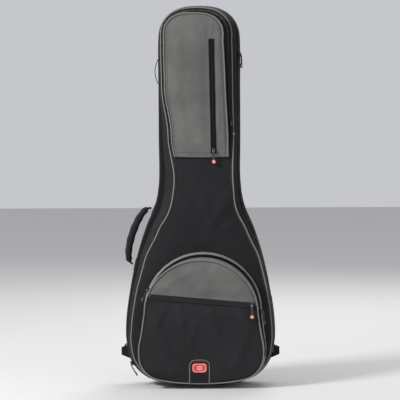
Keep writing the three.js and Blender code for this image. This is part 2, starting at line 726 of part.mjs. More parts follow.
function addUpperSliders() {
  const share = (upperZipShares[0] + upperZipShares[1]) / 2;
  const side = upperPocketLoop(share);
  const { at } = pointAt(side, upperHeight(upperSideSliderShare), 1);
  const top = pointAt(side, headBase - 20, 1).at;
  const low = pointAt(side, upperHeight(upperZipFoot), 1).at;
  const axis = top.clone().sub(low).normalize();
  addSlider('upper_side_zip', {
    at,
    travel: axis,
    hang: axis.clone().negate(),
    normal: V(axis.z, 0, -axis.x),
    lift: overlayThickness * 2 + 2 * gap + upperZipLift,
    track: { type: 'slide', axis, range: [-at.distanceTo(low), at.distanceTo(top)] },
  });
  const { foot, top: end, normal } = upperZip;
  const run = end.clone().sub(foot);
  const length = run.length();
  run.normalize();
  const start = 10;
  addSlider('upper_front_zip', {
    at: foot.clone().addScaledVector(run, start),
    travel: run,
    hang: run.clone().negate(),
    normal,
    lift: frontZipThickness + gap,
    track: { type: 'slide', axis: run, range: [0, length - 2 * start] },
  });
}

function addLowerSliders() {
  const share = (lowerZipShares[0] + lowerZipShares[1]) / 2;
  const arch = lowerPocketLoop(share);
  const c = lowerPocketCentre;
  const step = 180 / archSteps;
  const nearTop = 6;
  // Each slider's station on the arch, counted from the right, and how far it goes on to either side.
  const places = [
    ['lower_left_zip', archSteps - 3, -3 * step, (archSteps / 2 - 3) * step - nearTop],
    ['lower_right_zip', 0, -90 + nearTop, 0],
  ];
  for (const [name, station, from, to] of places) {
    const turn = (station / archSteps) * Math.PI;
    const normal = V(Math.cos(turn), 0, Math.sin(turn));
    const downwards = V(Math.sin(turn), 0, -Math.cos(turn)).multiplyScalar(station > archSteps / 2 ? -1 : 1);
    const lean = station === 0 ? 0.07 : 0;
    addSlider(name, {
      at: arch[station],
      travel: downwards,
      hang: downwards,
      normal: normal.addScaledVector(V(0, 0, 1), lean),
      lift: archLift,
      track: { type: 'hinge', at: V(c.x, arch[station].y, c.y), axis: V(0, 1, 0), range: [from, to] },
    });
  }
  const { left, right } = lowerZip;
  const run = left.clone().sub(right);
  const length = run.length();
  run.normalize();
  const start = 8;
  addSlider('lower_front_zip', {
    at: right.clone().addScaledVector(run, start),
    travel: run,
    hang: down,
    normal: V(0, -1, 0),
    lift: frontZipThickness + gap,
    track: { type: 'slide', axis: run, range: [0, length - 2 * start] },
  });
}

// The vertical zip on the upper pocket's front, from its foot to its top.
const upperZip = (() => {
  const topZ = headBase + 9;
  const footZ = upperPocketBottom + 9;
  const faceAt = (z) => lerp(
    upperFrontY(footZ),
    upperFrontY(headBase),
    (z - footZ) / (headBase - footZ),
  );
  const top = V(34, faceAt(topZ), topZ);
  const foot = V(40, faceAt(footZ), footZ);
  const run = top.clone().sub(foot).normalize();
  const normal = run.cross(V(1, 0, 0)).normalize();
  return { top, foot, normal: normal.y > 0 ? normal.negate() : normal };
})();

// The sloping zip on the lower pocket's front, kept off the piping at both ends.
const lowerZip = (() => {
  const c = lowerPocketCentre.x + lowerPocketShift;
  const height = lowerPocketRadius - lowerPocketLean;
  const rim = height + lowerPocketFlare;
  const margin = pocketPiping + 4;
  const end = (side) => {
    const z = lowerZipHeight + side * Math.tan(lowerZipSlope) * rim;
    const rise = (z + frontZipWidth / 2 - lowerPocketCentre.y) / height;
    const half = rim * Math.sqrt(1 - rise ** 2) - margin;
    return V(c + side * half, lowerFrontY, lowerZipHeight + side * Math.tan(lowerZipSlope) * half);
  };
  return { left: end(-1), right: end(1) };
})();

function addFrontZips() {
  zipOnFace('upper_front_zip_tape', upperZip.foot, upperZip.top, upperZip.normal);
  zipOnFace('lower_front_zip_tape', lowerZip.left, lowerZip.right, V(0, -1, 0));
}

// ---------------------------------------------------------------- handles
function ribbon(points, width, thickness, across) {
  const n = points.length;
  return skin(points.map((p, i) => {
    const along = points[Math.min(i + 1, n - 1)].clone().sub(points[Math.max(i - 1, 0)]).normalize();
    const side = across.clone().addScaledVector(along, -across.dot(along)).normalize();
    const normal = along.clone().cross(side);
    const breadth = typeof width === 'function' ? width(i / (n - 1)) : width;
    const corner = (a, b) => p.clone()
      .addScaledVector(side, a * breadth / 2)
      .addScaledVector(normal, b * thickness / 2);
    return [corner(-1, -1), corner(1, -1), corner(1, 1), corner(-1, 1)];
  }), false);
}

function addSideHandle() {
  const loop = ring(handleY, 0);
  const top = pointAt(loop, handleTop, -1);
  const low = pointAt(loop, handleBottom, -1);
  const across = V(0, 1, 0);
  for (const [name, end] of [['handle_anchor_top', top], ['handle_anchor_bottom', low]]) {
    const pad = roundedBox(26, 36, anchorThickness, 4);
    const at = end.at.clone().addScaledVector(end.out, anchorThickness / 2 + anchorClearance);
    add(name, place(pad, at, across, end.out.clone().cross(across), end.out), LOOK.blackCloth);
  }
  const offset = anchorThickness + anchorClearance + gap + gripRadii.y * gripTaper;
  const a = top.at.clone().addScaledVector(top.out, offset);
  const b = low.at.clone().addScaledVector(low.out, offset);
  const normal = top.out.clone().add(low.out).normalize();
  const pulled = normal.multiplyScalar((handleReach - offset) / 0.75);
  const curve = new THREE.CubicBezierCurve3(a, a.clone().add(pulled), b.clone().add(pulled), b);
  const steps = 16;
  const sides = 8;
  const sections = Array.from({ length: steps + 1 }, (_, i) => {
    const t = i / steps;
    const p = curve.getPoint(t);
    const thick = curve.getTangent(t).cross(across).normalize();
    const swell = gripTaper + (1 - gripTaper) * Math.sin(Math.PI * t) ** 0.5;
    return Array.from({ length: sides }, (_, k) => {
      const turn = (k / sides) * Math.PI * 2;
      return p.clone()
        .addScaledVector(across, gripRadii.y * swell * Math.cos(turn))
        .addScaledVector(thick, gripRadii.x * swell * Math.sin(turn));
    });
  });
  const grip = add('handle_grip', skin(sections, false), LOOK.blackCloth);
  grip.userData.joint = { type: 'hinge', at: a, axis: b.clone().sub(a).normalize(), range: [-55, 55] };
}

function addNeckLoop() {
  const { at } = pointAt(ring(neckLoopY, 0), neckLoopHeight, -1);
  const points = Array.from({ length: 9 }, (_, i) => {
    const t = i / 8;
    const x = at.x - neckLoopClearance - neckLoopStand * Math.sin(Math.PI * t);
    return V(x, neckLoopY, neckLoopHeight + neckLoopLength * (0.5 - t));
  });
  const shape = ribbon(points, neckLoopWidth, webbingThickness, V(0, 1, 0));
  const loop = add('neck_side_loop', shape, LOOK.blackCloth);
  loop.userData.joint = { type: 'hinge', at: points[0], axis: down, range: [-22, 40] };
}

// ---------------------------------------------------------------- shoulder straps
function strapTab(side) {
  const outline = new THREE.Shape();
  outline.moveTo(0, -strapTabHalf);
  outline.lineTo(strapTabReach, -strapTabHalf / 3);
  outline.lineTo(strapTabReach, strapTabHalf / 3);
  outline.lineTo(0, strapTabHalf);
  const shape = new THREE.ExtrudeGeometry(outline, { depth: strapTabThickness, bevelEnabled: false });
  shape.translate(0, 0, -strapTabThickness / 2);
  const at = V(side * (boutHalf - 16), backY + 4, strapTabHeight);
  return place(shape, at, V(side, 0, 0), V(0, 0, side), V(0, -1, 0));
}

// One shoulder strap, the buckle at its lower end and the webbing that runs on down to its tab.
function addStrap(name, side) {
  const base = backY + strapThickness / 2 + 1.5;
  const points = Array.from({ length: 15 }, (_, i) => {
    const t = i / 14;
    const x = side * lerp(strapInner, strapOuter, t ** 1.4);
    return V(x, base + strapBow * Math.sin(Math.PI * t), lerp(strapTop - 14, strapEnd, t));
  });
  const width = (t) => strapWidth - strapTaper * t;
  const strap = ribbon(points, width, strapThickness, V(1, 0, 0));
  add(`shoulder_strap_${name}`, strap, LOOK.blackCloth);

  const lean = Math.atan2(strapOuter - strapInner, strapTop - strapEnd) * side;
  const across = V(Math.cos(lean), 0, Math.sin(lean));
  const upwards = V(-Math.sin(lean), 0, Math.cos(lean));
  const lockAt = V(side * (strapOuter + 4), backY + 8, strapEnd - 18);
  const lock = place(roundedBox(44, 30, 4, 5), lockAt, across, upwards, V(0, -1, 0));
  add(`ladder_lock_${name}`, lock, LOOK.plastic);

  const start = V(side * (strapOuter + 8), backY + 4, strapEnd - 36);
  const tabAt = V(side * (boutHalf - 18), backY + 2, strapTabHeight + 4);
  const web = Array.from({ length: 9 }, (_, i) => {
    const t = i / 8;
    const p = start.clone().lerp(tabAt, t * 0.9);
    p.y += webbingBow * Math.sin(Math.PI * t);
    return p;
  });
  const webbing = ribbon(web, webbingWidth, webbingThickness, V(1, 0, 0));
  add(`strap_webbing_${name}`, webbing, LOOK.blackCloth);
  add(`strap_tab_${name}`, strapTab(side), LOOK.blackCloth);
}

function addStraps() {
  const yokeAt = V(0, backY + yokeThickness / 2 + gap, strapTop + 12);
  const yoke = roundedBox(yokeWidth, yokeHeight, yokeThickness, 12);
  add('strap_yoke', place(yoke, yokeAt, V(-1, 0, 0), V(0, 0, 1), V(0, 1, 0)), LOOK.blackCloth);
  addStrap('left', -1);
  addStrap('right', 1);
}

bag.userData.lid = { type: 'hinge', at: V(widestX + lidPlay, zipY, 0), axis: V(0, 0, 1), range: [0, 170] };
addPanels('front_panel', frontY, 1);
addPanels('back_panel', backY, -1);
addGussets();
addNeckCradle();
addEndPad();
addSpine();
addUpperPocket();
addLowerPocket();
addFrontZips();
addBadge();
addMainSliders();
addUpperSliders();
addLowerSliders();
addSideHandle();
addNeckLoop();
addStraps();

export default bag;
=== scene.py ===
"""A padded gig bag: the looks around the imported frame. Metres, +Z up the bag, pockets towards -Y."""

import json
import math

import bmesh
import bpy
import numpy as np
from mathutils import Matrix, Vector


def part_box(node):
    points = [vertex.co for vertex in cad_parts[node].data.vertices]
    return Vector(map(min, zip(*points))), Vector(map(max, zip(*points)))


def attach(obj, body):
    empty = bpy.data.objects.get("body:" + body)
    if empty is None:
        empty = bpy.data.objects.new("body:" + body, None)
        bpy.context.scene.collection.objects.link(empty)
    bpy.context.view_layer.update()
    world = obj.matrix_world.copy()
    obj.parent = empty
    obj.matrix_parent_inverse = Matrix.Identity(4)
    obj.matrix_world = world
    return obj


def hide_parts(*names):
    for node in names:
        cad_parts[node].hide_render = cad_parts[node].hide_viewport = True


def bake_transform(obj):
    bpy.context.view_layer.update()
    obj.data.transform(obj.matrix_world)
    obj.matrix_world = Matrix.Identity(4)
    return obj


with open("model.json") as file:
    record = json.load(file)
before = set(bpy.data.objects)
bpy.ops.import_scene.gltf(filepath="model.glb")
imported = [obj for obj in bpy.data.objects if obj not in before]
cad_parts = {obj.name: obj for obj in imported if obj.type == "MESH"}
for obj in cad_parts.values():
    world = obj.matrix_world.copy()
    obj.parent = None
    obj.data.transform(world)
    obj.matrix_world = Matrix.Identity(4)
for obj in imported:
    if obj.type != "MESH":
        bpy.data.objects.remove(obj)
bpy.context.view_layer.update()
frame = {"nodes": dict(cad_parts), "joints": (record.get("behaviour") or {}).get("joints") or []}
JOINTS = {j["name"]: j for j in frame["joints"]}
MM = 0.001

# ---------------------------------------------------------------- sizes, as in the CAD model
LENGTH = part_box("main_zip_tape_rear")[1].z
BOUT_HALF = 214 * MM
BOUT_HEIGHT = 175 * MM
NECK_HALF = 117 * MM
NECK_HEIGHT = 590 * MM
HEAD_HEIGHT = 105 * MM
HEAD_SQUARENESS = 2.5
BOTTOM_SAG = 8 * MM
FRONT_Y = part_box("front_panel_shell")[0].y
BACK_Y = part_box("back_panel_shell")[1].y
WIDEST_Y = -10 * MM
ZIP_Y = -32 * MM
REAR_INSET = 8 * MM
WALL = 12 * MM
PIPING = 2.4 * MM
POCKET_PIPING = 1.8 * MM
TAPE_HALF = 8 * MM
POCKET_MARGIN = 6 * MM
UPPER_BOTTOM = 659 * MM
UPPER_DEPTH = 40 * MM
UPPER_HEM = 4 * MM
UPPER_LEAN = 9.5 * MM
UPPER_SWAY = 7.5 * MM
LOWER_RADIUS = 169 * MM
LOWER_CENTRE = np.array([8 * MM, 218 * MM])
LOWER_HALF = 181 * MM
LOWER_BOTTOM = 10 * MM
LOWER_DEPTH = 55 * MM
LOWER_LEAN = 19 * MM
LOWER_SIDE_LEAN = 9 * MM
LOWER_FLARE = 11 * MM
LOWER_SHIFT = -6 * MM
GAP = 0.3 * MM
HEAD_BASE = LENGTH - HEAD_HEIGHT
LOWER_Y = FRONT_Y - GAP - LOWER_DEPTH

rng = np.random.default_rng(7)


def lerp(a, b, t):
    return a + (b - a) * t


def smooth(t):
    t = np.clip(t, 0, 1)
    return t * t * (3 - 2 * t)


def unit(v):
    v = np.asarray(v, float)
    return v / np.maximum(np.linalg.norm(v, axis=-1, keepdims=True), 1e-12)


# ---------------------------------------------------------------- soft noise for folds
WAVES = [(rng.normal(size=3), rng.uniform(0, 2 * math.pi)) for _ in range(24)]


def ripple(points, size, seed=0):
    """Smooth noise from -1 to 1 at points, with folds about as wide as size."""
    total = np.zeros(len(points))
    for k in range(8):
        direction, phase = WAVES[(k + seed * 5) % len(WAVES)]
        total += np.sin(points @ direction * (2.2 / size) + phase + seed)
    return total / 8 * 1.8


# ---------------------------------------------------------------- outlines
def run_length(path):
    """Length along a path up to each of its points."""
    return np.concatenate([[0], np.cumsum(np.linalg.norm(np.diff(path, axis=0), axis=1))])


def spline(points, per, closed=True):
    """Centripetal Catmull-Rom curve, with per steps from one point to the next."""
    points = np.asarray(points, float)
    n = len(points)
    out = []
    for i in range(n if closed else n - 1):
        if closed:
            p = [points[(i + k - 1) % n] for k in range(4)]
        else:
            first = 2 * points[0] - points[1] if i == 0 else points[i - 1]
            last = 2 * points[-1] - points[-2] if i + 2 >= n else points[i + 2]
            p = [first, points[i], points[i + 1], last]
        d = [max(np.sum((p[k + 1] - p[k]) ** 2) ** 0.25, 1e-9) for k in range(3)]
        m1 = (p[1] - p[0]) / d[0] - (p[2] - p[0]) / (d[0] + d[1]) + (p[2] - p[1]) / d[1]
        m2 = (p[2] - p[1]) / d[1] - (p[3] - p[1]) / (d[1] + d[2]) + (p[3] - p[2]) / d[2]
        m1, m2 = m1 * d[1], m2 * d[1]
        for s in range(per):
            t = s / per
            out.append(
                p[1] + m1 * t
                + (-3 * p[1] + 3 * p[2] - 2 * m1 - m2) * t**2
                + (2 * p[1] - 2 * p[2] + m1 + m2) * t**3
            )
    if not closed:
        out.append(points[-1])
    return np.array(out)


def outward(loop, closed=True):
    """Outward directions in the x-z plane of a loop that runs anticlockwise seen from the front."""
    if closed:
        step = np.roll(loop, -1, axis=0) - np.roll(loop, 1, axis=0)
    else:
        step = np.gradient(loop, axis=0)
    return unit(np.stack([step[:, 2], np.zeros(len(loop)), -step[:, 0]], axis=1))


def outline_rows():
    """Half width, height, front inset and sideways sag, once round the bag from the bottom's middle."""
    side = [
        (BOUT_HALF * 0.463, BOUT_HEIGHT * 0.08 - BOTTOM_SAG, 6, 3),
        (BOUT_HALF * 0.748, BOUT_HEIGHT * 0.2 - BOTTOM_SAG, 9, 3),
        (BOUT_HALF * 0.93, BOUT_HEIGHT * 0.44 - BOTTOM_SAG, 12, 3),
        (BOUT_HALF * 0.995, BOUT_HEIGHT * 0.72, 13, 3),
        (BOUT_HALF, BOUT_HEIGHT, 15, 4),
    ]
    for width, rise, inset, sway in (
        (0.907, 0.193, 16, 5), (0.68, 0.458, 20, 7), (0.39, 0.675, 32, 8),
        (0.11, 0.835, 38, 10), (0, 1, 36, 12),
    ):
        half = lerp(NECK_HALF, BOUT_HALF, width)
        side.append((half, lerp(BOUT_HEIGHT, NECK_HEIGHT, rise), inset, sway))
    for rise, inset, sway in ((0.33, 26, 4), (0.68, 18, -7), (1, 18, -9)):
        side.append((NECK_HALF, lerp(NECK_HEIGHT, HEAD_BASE, rise), inset, sway))
    for i in range(1, 6):
        turn = i / 6 * math.pi / 2
        power = 2 / HEAD_SQUARENESS
        half = NECK_HALF * math.cos(turn) ** power
        z = HEAD_BASE + HEAD_HEIGHT * math.sin(turn) ** power
        side.append((half, z, lerp(18, 7, math.sin(turn)), -9))
    mirrored = [(-half, z, inset, sway) for half, z, inset, sway in reversed(side)]
    return np.array([(0, -BOTTOM_SAG, 5, 2), *side, (0, LENGTH, 7, -9), *mirrored])


PER_ROW = 8
ROWS = outline_rows()
MIDDLE = spline(np.stack([ROWS[:, 0], 0 * ROWS[:, 0], ROWS[:, 1]], axis=1), PER_ROW)
MIDDLE_OUT = outward(MIDDLE)
STATIONS = len(MIDDLE)


def along_rows(column):
    values = ROWS[:, column]
    t = np.arange(STATIONS) / PER_ROW
    low = t.astype(int)
    return lerp(values[low % len(ROWS)], values[(low + 1) % len(ROWS)], smooth(t - low)) * MM


FRONT = MIDDLE - MIDDLE_OUT * along_rows(2)[:, None]
FRONT[:, 0] += along_rows(3)
REAR = MIDDLE - MIDDLE_OUT * REAR_INSET


def ring(y, inwards=0.0, floor=None):
    """The bag's outer surface at a depth, moved inwards, with its bottom flat at the floor's height."""
    floor = inwards if floor is None else floor
    edge, far = (FRONT, FRONT_Y) if y < WIDEST_Y else (REAR, BACK_Y)
    loop = lerp(MIDDLE, edge, ((WIDEST_Y - y) / (WIDEST_Y - far)) ** 2)
    loop = loop - outward(loop) * inwards
    loop[:, 1] = y
    loop[:, 2] = np.maximum(loop[:, 2], floor)
    return loop


def upper_rise(z):
    return np.clip((z - UPPER_BOTTOM) / (HEAD_BASE - UPPER_BOTTOM), 0, 1)


def upper_front_y(z):
    return FRONT_Y - GAP - lerp(UPPER_HEM, UPPER_DEPTH, upper_rise(z))


def upper_loop(share, margin=0.0):
    """The upper pocket's side wall at a share of its depth: up the right, over the top, down the left."""
    seam = ring(FRONT_Y, POCKET_MARGIN)
    out = outward(seam)
    above = np.flatnonzero(seam[:, 2] >= UPPER_BOTTOM)
    first, last = above[0], above[-1]

    def corner(inside, outside):
        return lerp(inside, outside, (UPPER_BOTTOM - inside[2]) / (outside[2] - inside[2]))

    points = [corner(seam[first], seam[first - 1]), *seam[above], corner(seam[last], seam[last + 1])]
    normals = np.array([(1, 0, 0), *out[above], (-1, 0, 0)])
    points = np.array(points)
    depth = lerp(UPPER_HEM, UPPER_DEPTH, upper_rise(points[:, 2]))
    reach = np.minimum(share * depth, depth - margin)
    lean = (reach / depth) ** 2 * lerp(0.4, 1, upper_rise(points[:, 2]))
    points = points - normals * (UPPER_LEAN * lean)[:, None]
    points[:, 0] -= UPPER_SWAY * lean
    points[:, 1] -= GAP + reach
    return points


ARCH_STEPS = 96
TAIL_STEPS = 8


def lower_loop(share):
    """The lower pocket's side wall at a share of its depth: over the arch, then round the bottom."""
    lean, flare = share**2, share**6
    height = LOWER_RADIUS - LOWER_LEAN * lean
    radius = height + LOWER_FLARE * flare
    half = LOWER_HALF - LOWER_SIDE_LEAN * lean + LOWER_FLARE * flare / 2
    bottom = LOWER_BOTTOM + 6 * MM * lean
    cx, cz = LOWER_CENTRE + np.array([LOWER_SHIFT * flare, 0])
    turn = np.linspace(0, math.pi, ARCH_STEPS + 1)
    arch = np.stack([cx + radius * np.cos(turn), cz + height * np.sin(turn)], axis=1)
    right = [
        (radius, cz), (lerp(radius, half, 0.5), cz * 0.74), (half, cz * 0.5), (half * 0.96, cz * 0.3),
        (half * 0.8, cz * 0.13 + bottom * 0.4), (half * 0.5, bottom + 5 * MM), (half * 0.17, bottom),
    ]
    tail = [(cx - x, z) for x, z in right] + [(cx + x, z) for x, z in reversed(right)]
    curve = spline(tail, TAIL_STEPS, closed=False)[1:-1]
    flat = np.concatenate([arch, curve])
    y = np.full(len(flat), FRONT_Y - GAP - LOWER_DEPTH * share)
    return np.stack([flat[:, 0], y, flat[:, 1]], axis=1)


# ---------------------------------------------------------------- materials
def shader(name, roughness=0.6, **sockets):
    material = bpy.data.materials.new(name)
    material.use_nodes = True
    node = material.node_tree.nodes["Principled BSDF"]
    node.inputs["Roughness"].default_value = roughness
    for key, value in sockets.items():
        node.inputs[key.replace("_", " ")].default_value = value
    return material, material.node_tree, node


def link(tree, a, b):
    tree.links.new(a, b)


def math_node(tree, operation, a, b):
    node = tree.nodes.new("ShaderNodeMath")
    node.operation = operation
    for socket, value in zip(node.inputs, (a, b)):
        if isinstance(value, (int, float)):
            socket.default_value = value
        else:
            link(tree, value, socket)
    return node.outputs[0]


def noise(tree, coords, scale, detail=3.0):
    node = tree.nodes.new("ShaderNodeTexNoise")
    node.inputs["Scale"].default_value = scale
    node.inputs["Detail"].default_value = detail
    link(tree, coords, node.inputs["Vector"])
    return node.outputs["Fac"]


def ramp(tree, factor, low, high, colors):
    node = tree.nodes.new("ShaderNodeValToRGB")
    first, last = node.color_ramp.elements
    first.position, last.position = low, high
    first.color, last.color = [(*c, 1) for c in colors]
    link(tree, factor, node.inputs[0])
    return node.outputs[0]


def threads(tree, coords, period, direction):
    """Round threads across one direction of a cloth: 0 in the grooves, 1 on the crowns."""
    node = tree.nodes.new("ShaderNodeTexWave")
    node.wave_type = "BANDS"
    node.bands_direction = direction
    node.wave_profile = "SIN"
    node.inputs["Scale"].default_value = 2 * math.pi / period / 20
    node.inputs["Distortion"].default_value = 0.4
    node.inputs["Detail Scale"].default_value = 2.0
    link(tree, coords, node.inputs["Vector"])
    return node.outputs["Fac"]


def added(tree, a, share_a, b, share_b):
    """Two patterns added together in the given shares."""
    first = math_node(tree, "MULTIPLY", a, share_a)
    second = math_node(tree, "MULTIPLY", b, share_b)
    return math_node(tree, "ADD", first, second)


def bump_node(tree, height, strength, distance):
    node = tree.nodes.new("ShaderNodeBump")
    node.inputs["Strength"].default_value = strength
    node.inputs["Distance"].default_value = distance
    link(tree, height, node.inputs["Height"])
    return node


def uneven_gloss(tree, factor, low, high, out):
    """Roughness that follows a pattern between a low and a high value."""
    rough = tree.nodes.new("ShaderNodeMapRange")
    rough.inputs["To Min"].default_value = low
    rough.inputs["To Max"].default_value = high
    link(tree, factor, rough.inputs["Value"])
    link(tree, rough.outputs[0], out.inputs["Roughness"])


def cloth(name, dark, light, period=1.3 * MM, depth=0.25 * MM, roughness=0.7, sheen=0.05, wear=0.12):
    """A plain-woven cloth: threads both ways, uneven dye, faint dust and lighter wear."""
    material, tree, out = shader(
        name, roughness, Sheen_Weight=sheen, Sheen_Roughness=0.4, Specular_IOR_Level=0.22
    )
    place = tree.nodes.new("ShaderNodeTexCoord")
    uv, here = place.outputs["UV"], place.outputs["Object"]
    weave = math_node(
        tree, "MULTIPLY", threads(tree, uv, period, "X"), threads(tree, uv, period, "Y")
    )
    blotch = noise(tree, here, 9, 5)
    dust = noise(tree, here, 60, 6)
    base = ramp(tree, added(tree, blotch, 0.7, weave, 0.3), 0.25, 0.75, (dark, light))
    mix = tree.nodes.new("ShaderNodeMix")
    mix.data_type = "RGBA"
    link(tree, ramp(tree, dust, 0.52, 0.8, ((0, 0, 0), (wear, wear, wear))), mix.inputs["Factor"])
    link(tree, base, mix.inputs["A"])
    mix.inputs["B"].default_value = (*[min(c * 1.5 + 0.02, 1) for c in light], 1)
    link(tree, mix.outputs["Result"], out.inputs["Base Color"])
    uneven_gloss(tree, dust, roughness - 0.1, roughness + 0.12, out)
    bump = bump_node(tree, weave, 0.6, depth)
    creases = bump_node(tree, noise(tree, here, 22, 4), 0.35, 2 * MM)
    link(tree, creases.outputs[0], bump.inputs["Normal"])
    link(tree, bump.outputs[0], out.inputs["Normal"])
    return material


def ribbed(name, dark, light, period, direction="Y", depth=0.5 * MM, roughness=0.6, **sockets):
    """Webbing, zip tape or piping cloth: ribs in one direction and a fine noise over them."""
    material, tree, out = shader(name, roughness, **sockets)
    place = tree.nodes.new("ShaderNodeTexCoord")
    ribs = threads(tree, place.outputs["UV"], period, direction)
    speckle = noise(tree, place.outputs["Object"], 180, 3)
    shade = added(tree, ribs, 0.55, speckle, 0.45)
    link(tree, ramp(tree, shade, 0.2, 0.8, (dark, light)), out.inputs["Base Color"])
    link(tree, bump_node(tree, ribs, 0.7, depth).outputs[0], out.inputs["Normal"])
    return material


def moulded(name, dark, light, roughness, grain=400.0, depth=0.15 * MM, **sockets):
    """Metal, rubber or plastic with a fine cast or moulded grain and uneven gloss."""
    material, tree, out = shader(name, roughness, **sockets)
    here = tree.nodes.new("ShaderNodeTexCoord").outputs["Object"]
    fine = noise(tree, here, grain, 4)
    link(tree, ramp(tree, noise(tree, here, 40, 4), 0.3, 0.7, (dark, light)), out.inputs["Base Color"])
    uneven_gloss(tree, fine, roughness * 0.7, min(roughness * 1.35, 1), out)
    link(tree, bump_node(tree, fine, 0.4, depth).outputs[0], out.inputs["Normal"])
    return material


def make_materials():
    return {
        "black_cloth": cloth("black_cloth", (0.0055, 0.0057, 0.0068), (0.0125, 0.0128, 0.015)),
        "charcoal_cloth": cloth("charcoal_cloth", (0.0085, 0.0091, 0.0098), (0.0175, 0.0183, 0.0195)),
        "grey_cloth": cloth("grey_cloth", (0.085, 0.087, 0.082), (0.165, 0.167, 0.157)),
        "pale_trim": cloth("pale_trim", (0.17, 0.165, 0.15), (0.25, 0.24, 0.22)),
        "piping": ribbed("piping", (0.13, 0.127, 0.117), (0.23, 0.225, 0.205), 1.6 * MM, "X", 0.3 * MM, 0.6,
                         Specular_IOR_Level=0.25),
        "thread_grey": ribbed("thread_grey", (0.14, 0.14, 0.135), (0.26, 0.26, 0.25), 0.5 * MM),
        "thread_black": ribbed("thread_black", (0.006, 0.006, 0.007), (0.02, 0.02, 0.023), 0.5 * MM,
                               Specular_IOR_Level=0.2),
        "lining": cloth("lining", (0.03, 0.031, 0.036), (0.06, 0.062, 0.07), 2.2 * MM, 0.9 * MM, 0.95,
                        0.6, 0.1),
        "foam": cloth("foam", (0.1, 0.1, 0.11), (0.16, 0.16, 0.17), 3 * MM, 1.2 * MM, 0.95, 0.1, 0.1),
        "mesh_cloth": cloth("mesh_cloth", (0.008, 0.008, 0.0095), (0.03, 0.03, 0.034), 3.4 * MM,
                            1.4 * MM, 0.85, 0.2),
        "zip_tape": ribbed("zip_tape", (0.0025, 0.0025, 0.003), (0.0075, 0.0075, 0.0085), 1.0 * MM, "X",
                           0.3 * MM, 0.75, Specular_IOR_Level=0.12),
        "zip_coil": moulded("zip_coil", (0.008, 0.008, 0.009), (0.02, 0.02, 0.022), 0.3),
        "webbing": ribbed("webbing", (0.004, 0.004, 0.005), (0.016, 0.016, 0.018), 2.4 * MM, "Y",
                          0.7 * MM, 0.75, Specular_IOR_Level=0.2),
        "metal": moulded("metal", (0.05, 0.05, 0.052), (0.12, 0.12, 0.125), 0.28, Metallic=0.9),
        "rubber": moulded("rubber", (0.016, 0.016, 0.018), (0.034, 0.034, 0.037), 0.45),
        "red": moulded("red", (0.55, 0.028, 0.018), (0.72, 0.05, 0.03), 0.3, Coat_Weight=0.3),
        "white": moulded("white", (0.68, 0.66, 0.62), (0.82, 0.8, 0.77), 0.4),
        "plastic": moulded("plastic", (0.01, 0.01, 0.011), (0.024, 0.024, 0.026), 0.35),
        "ring": moulded("ring", (0.28, 0.28, 0.29), (0.5, 0.5, 0.52), 0.22, Metallic=1.0),
    }


MATERIALS = make_materials()


# ---------------------------------------------------------------- building meshes
def lattice(rows, closed=False, wrapped=False):
    """Quads over rows of points; texture coordinates are arc lengths along and across the rows."""
    n, m = rows.shape[:2]
    i, j = np.meshgrid(np.arange(n if closed else n - 1), np.arange(m if wrapped else m - 1), indexing="ij")
    i, j = i.ravel(), j.ravel()
    i1, j1 = (i + 1) % n, (j + 1) % m
    faces = np.stack([i * m + j, i1 * m + j, i1 * m + j1, i * m + j1], axis=1)
    steps = [np.linalg.norm(np.roll(rows, -1, axis=k) - rows, axis=2).mean(axis=1 - k) for k in (0, 1)]
    u, v = (np.concatenate([[0], np.cumsum(step)]) for step in steps)
    corners = [(u[i], v[j]), (u[i + 1], v[j]), (u[i + 1], v[j + 1]), (u[i], v[j + 1])]
    uv = np.stack([np.stack(c, axis=1) for c in corners], axis=1)
    return rows.reshape(-1, 3), [tuple(f) for f in faces], uv.reshape(-1, 2)


def solid(name, shape, material, body=None, replaced=(), flat_uv=False, sharp=50):
    """A mesh object from points, faces and texture coordinates, facing outwards and riding on a body."""
    points, faces, uv = shape
    mesh = bpy.data.meshes.new(name)
    mesh.from_pydata([tuple(p) for p in points], [], faces)
    layer = mesh.uv_layers.new(name="UVMap")
    if flat_uv or uv is None:
        corner = np.zeros(len(mesh.loops), np.int32)
        mesh.loops.foreach_get("vertex_index", corner)
        uv = np.asarray(points)[corner][:, (0, 2)]
    layer.data.foreach_set("uv", np.asarray(uv, np.float32).ravel())
    work = bmesh.new()
    work.from_mesh(mesh)
    if work.calc_volume(signed=True) < 0:
        bmesh.ops.reverse_faces(work, faces=work.faces)
    work.to_mesh(mesh)
    work.free()
    mesh.polygons.foreach_set("use_smooth", np.ones(len(mesh.polygons), bool))
    mesh.set_sharp_from_angle(angle=math.radians(sharp))
    for each in material if isinstance(material, (list, tuple)) else [material]:
        mesh.materials.append(MATERIALS[each])
    made = bpy.data.objects.new(name, mesh)
    bpy.context.scene.collection.objects.link(made)
    if body:
        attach(made, body)
    if replaced:
        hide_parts(*replaced)
    return made


def capped(rows, closed=False, axes=(0, 2)):
    """Rings of points joined into one closed piece: filled in at both ends, unless the rings meet up."""
    rows = np.asarray(rows)
    points, faces, uv = lattice(rows, closed, True)
    if not closed:
        n, m = rows.shape[:2]
        last = (n - 1) * m
        faces += [tuple(range(m)), tuple(range(last, last + m))]
        uv = np.concatenate([uv, rows[0][:, axes], rows[-1][:, axes]])
    return points, faces, uv


def shell(outer, inner, closed=False):
    """One closed piece of cloth between an outer and an inner surface that have the same rows."""
    return capped(np.concatenate([outer, inner[:, ::-1]], axis=1), closed)


def joined(*shapes):
    """Several shapes as one mesh."""
    points, faces, uvs = [], [], []
    count = 0
    for p, f, uv in shapes:
        points.append(np.asarray(p, float))
        faces += [tuple(int(k) + count for k in face) for face in f]
        uvs.append(np.asarray(uv, float))
        count += len(p)
    return np.concatenate(points), faces, np.concatenate(uvs)


def tangents(path, closed=False):
    if closed:
        return unit(np.roll(path, -1, axis=0) - np.roll(path, 1, axis=0))
    return unit(np.gradient(path, axis=0))


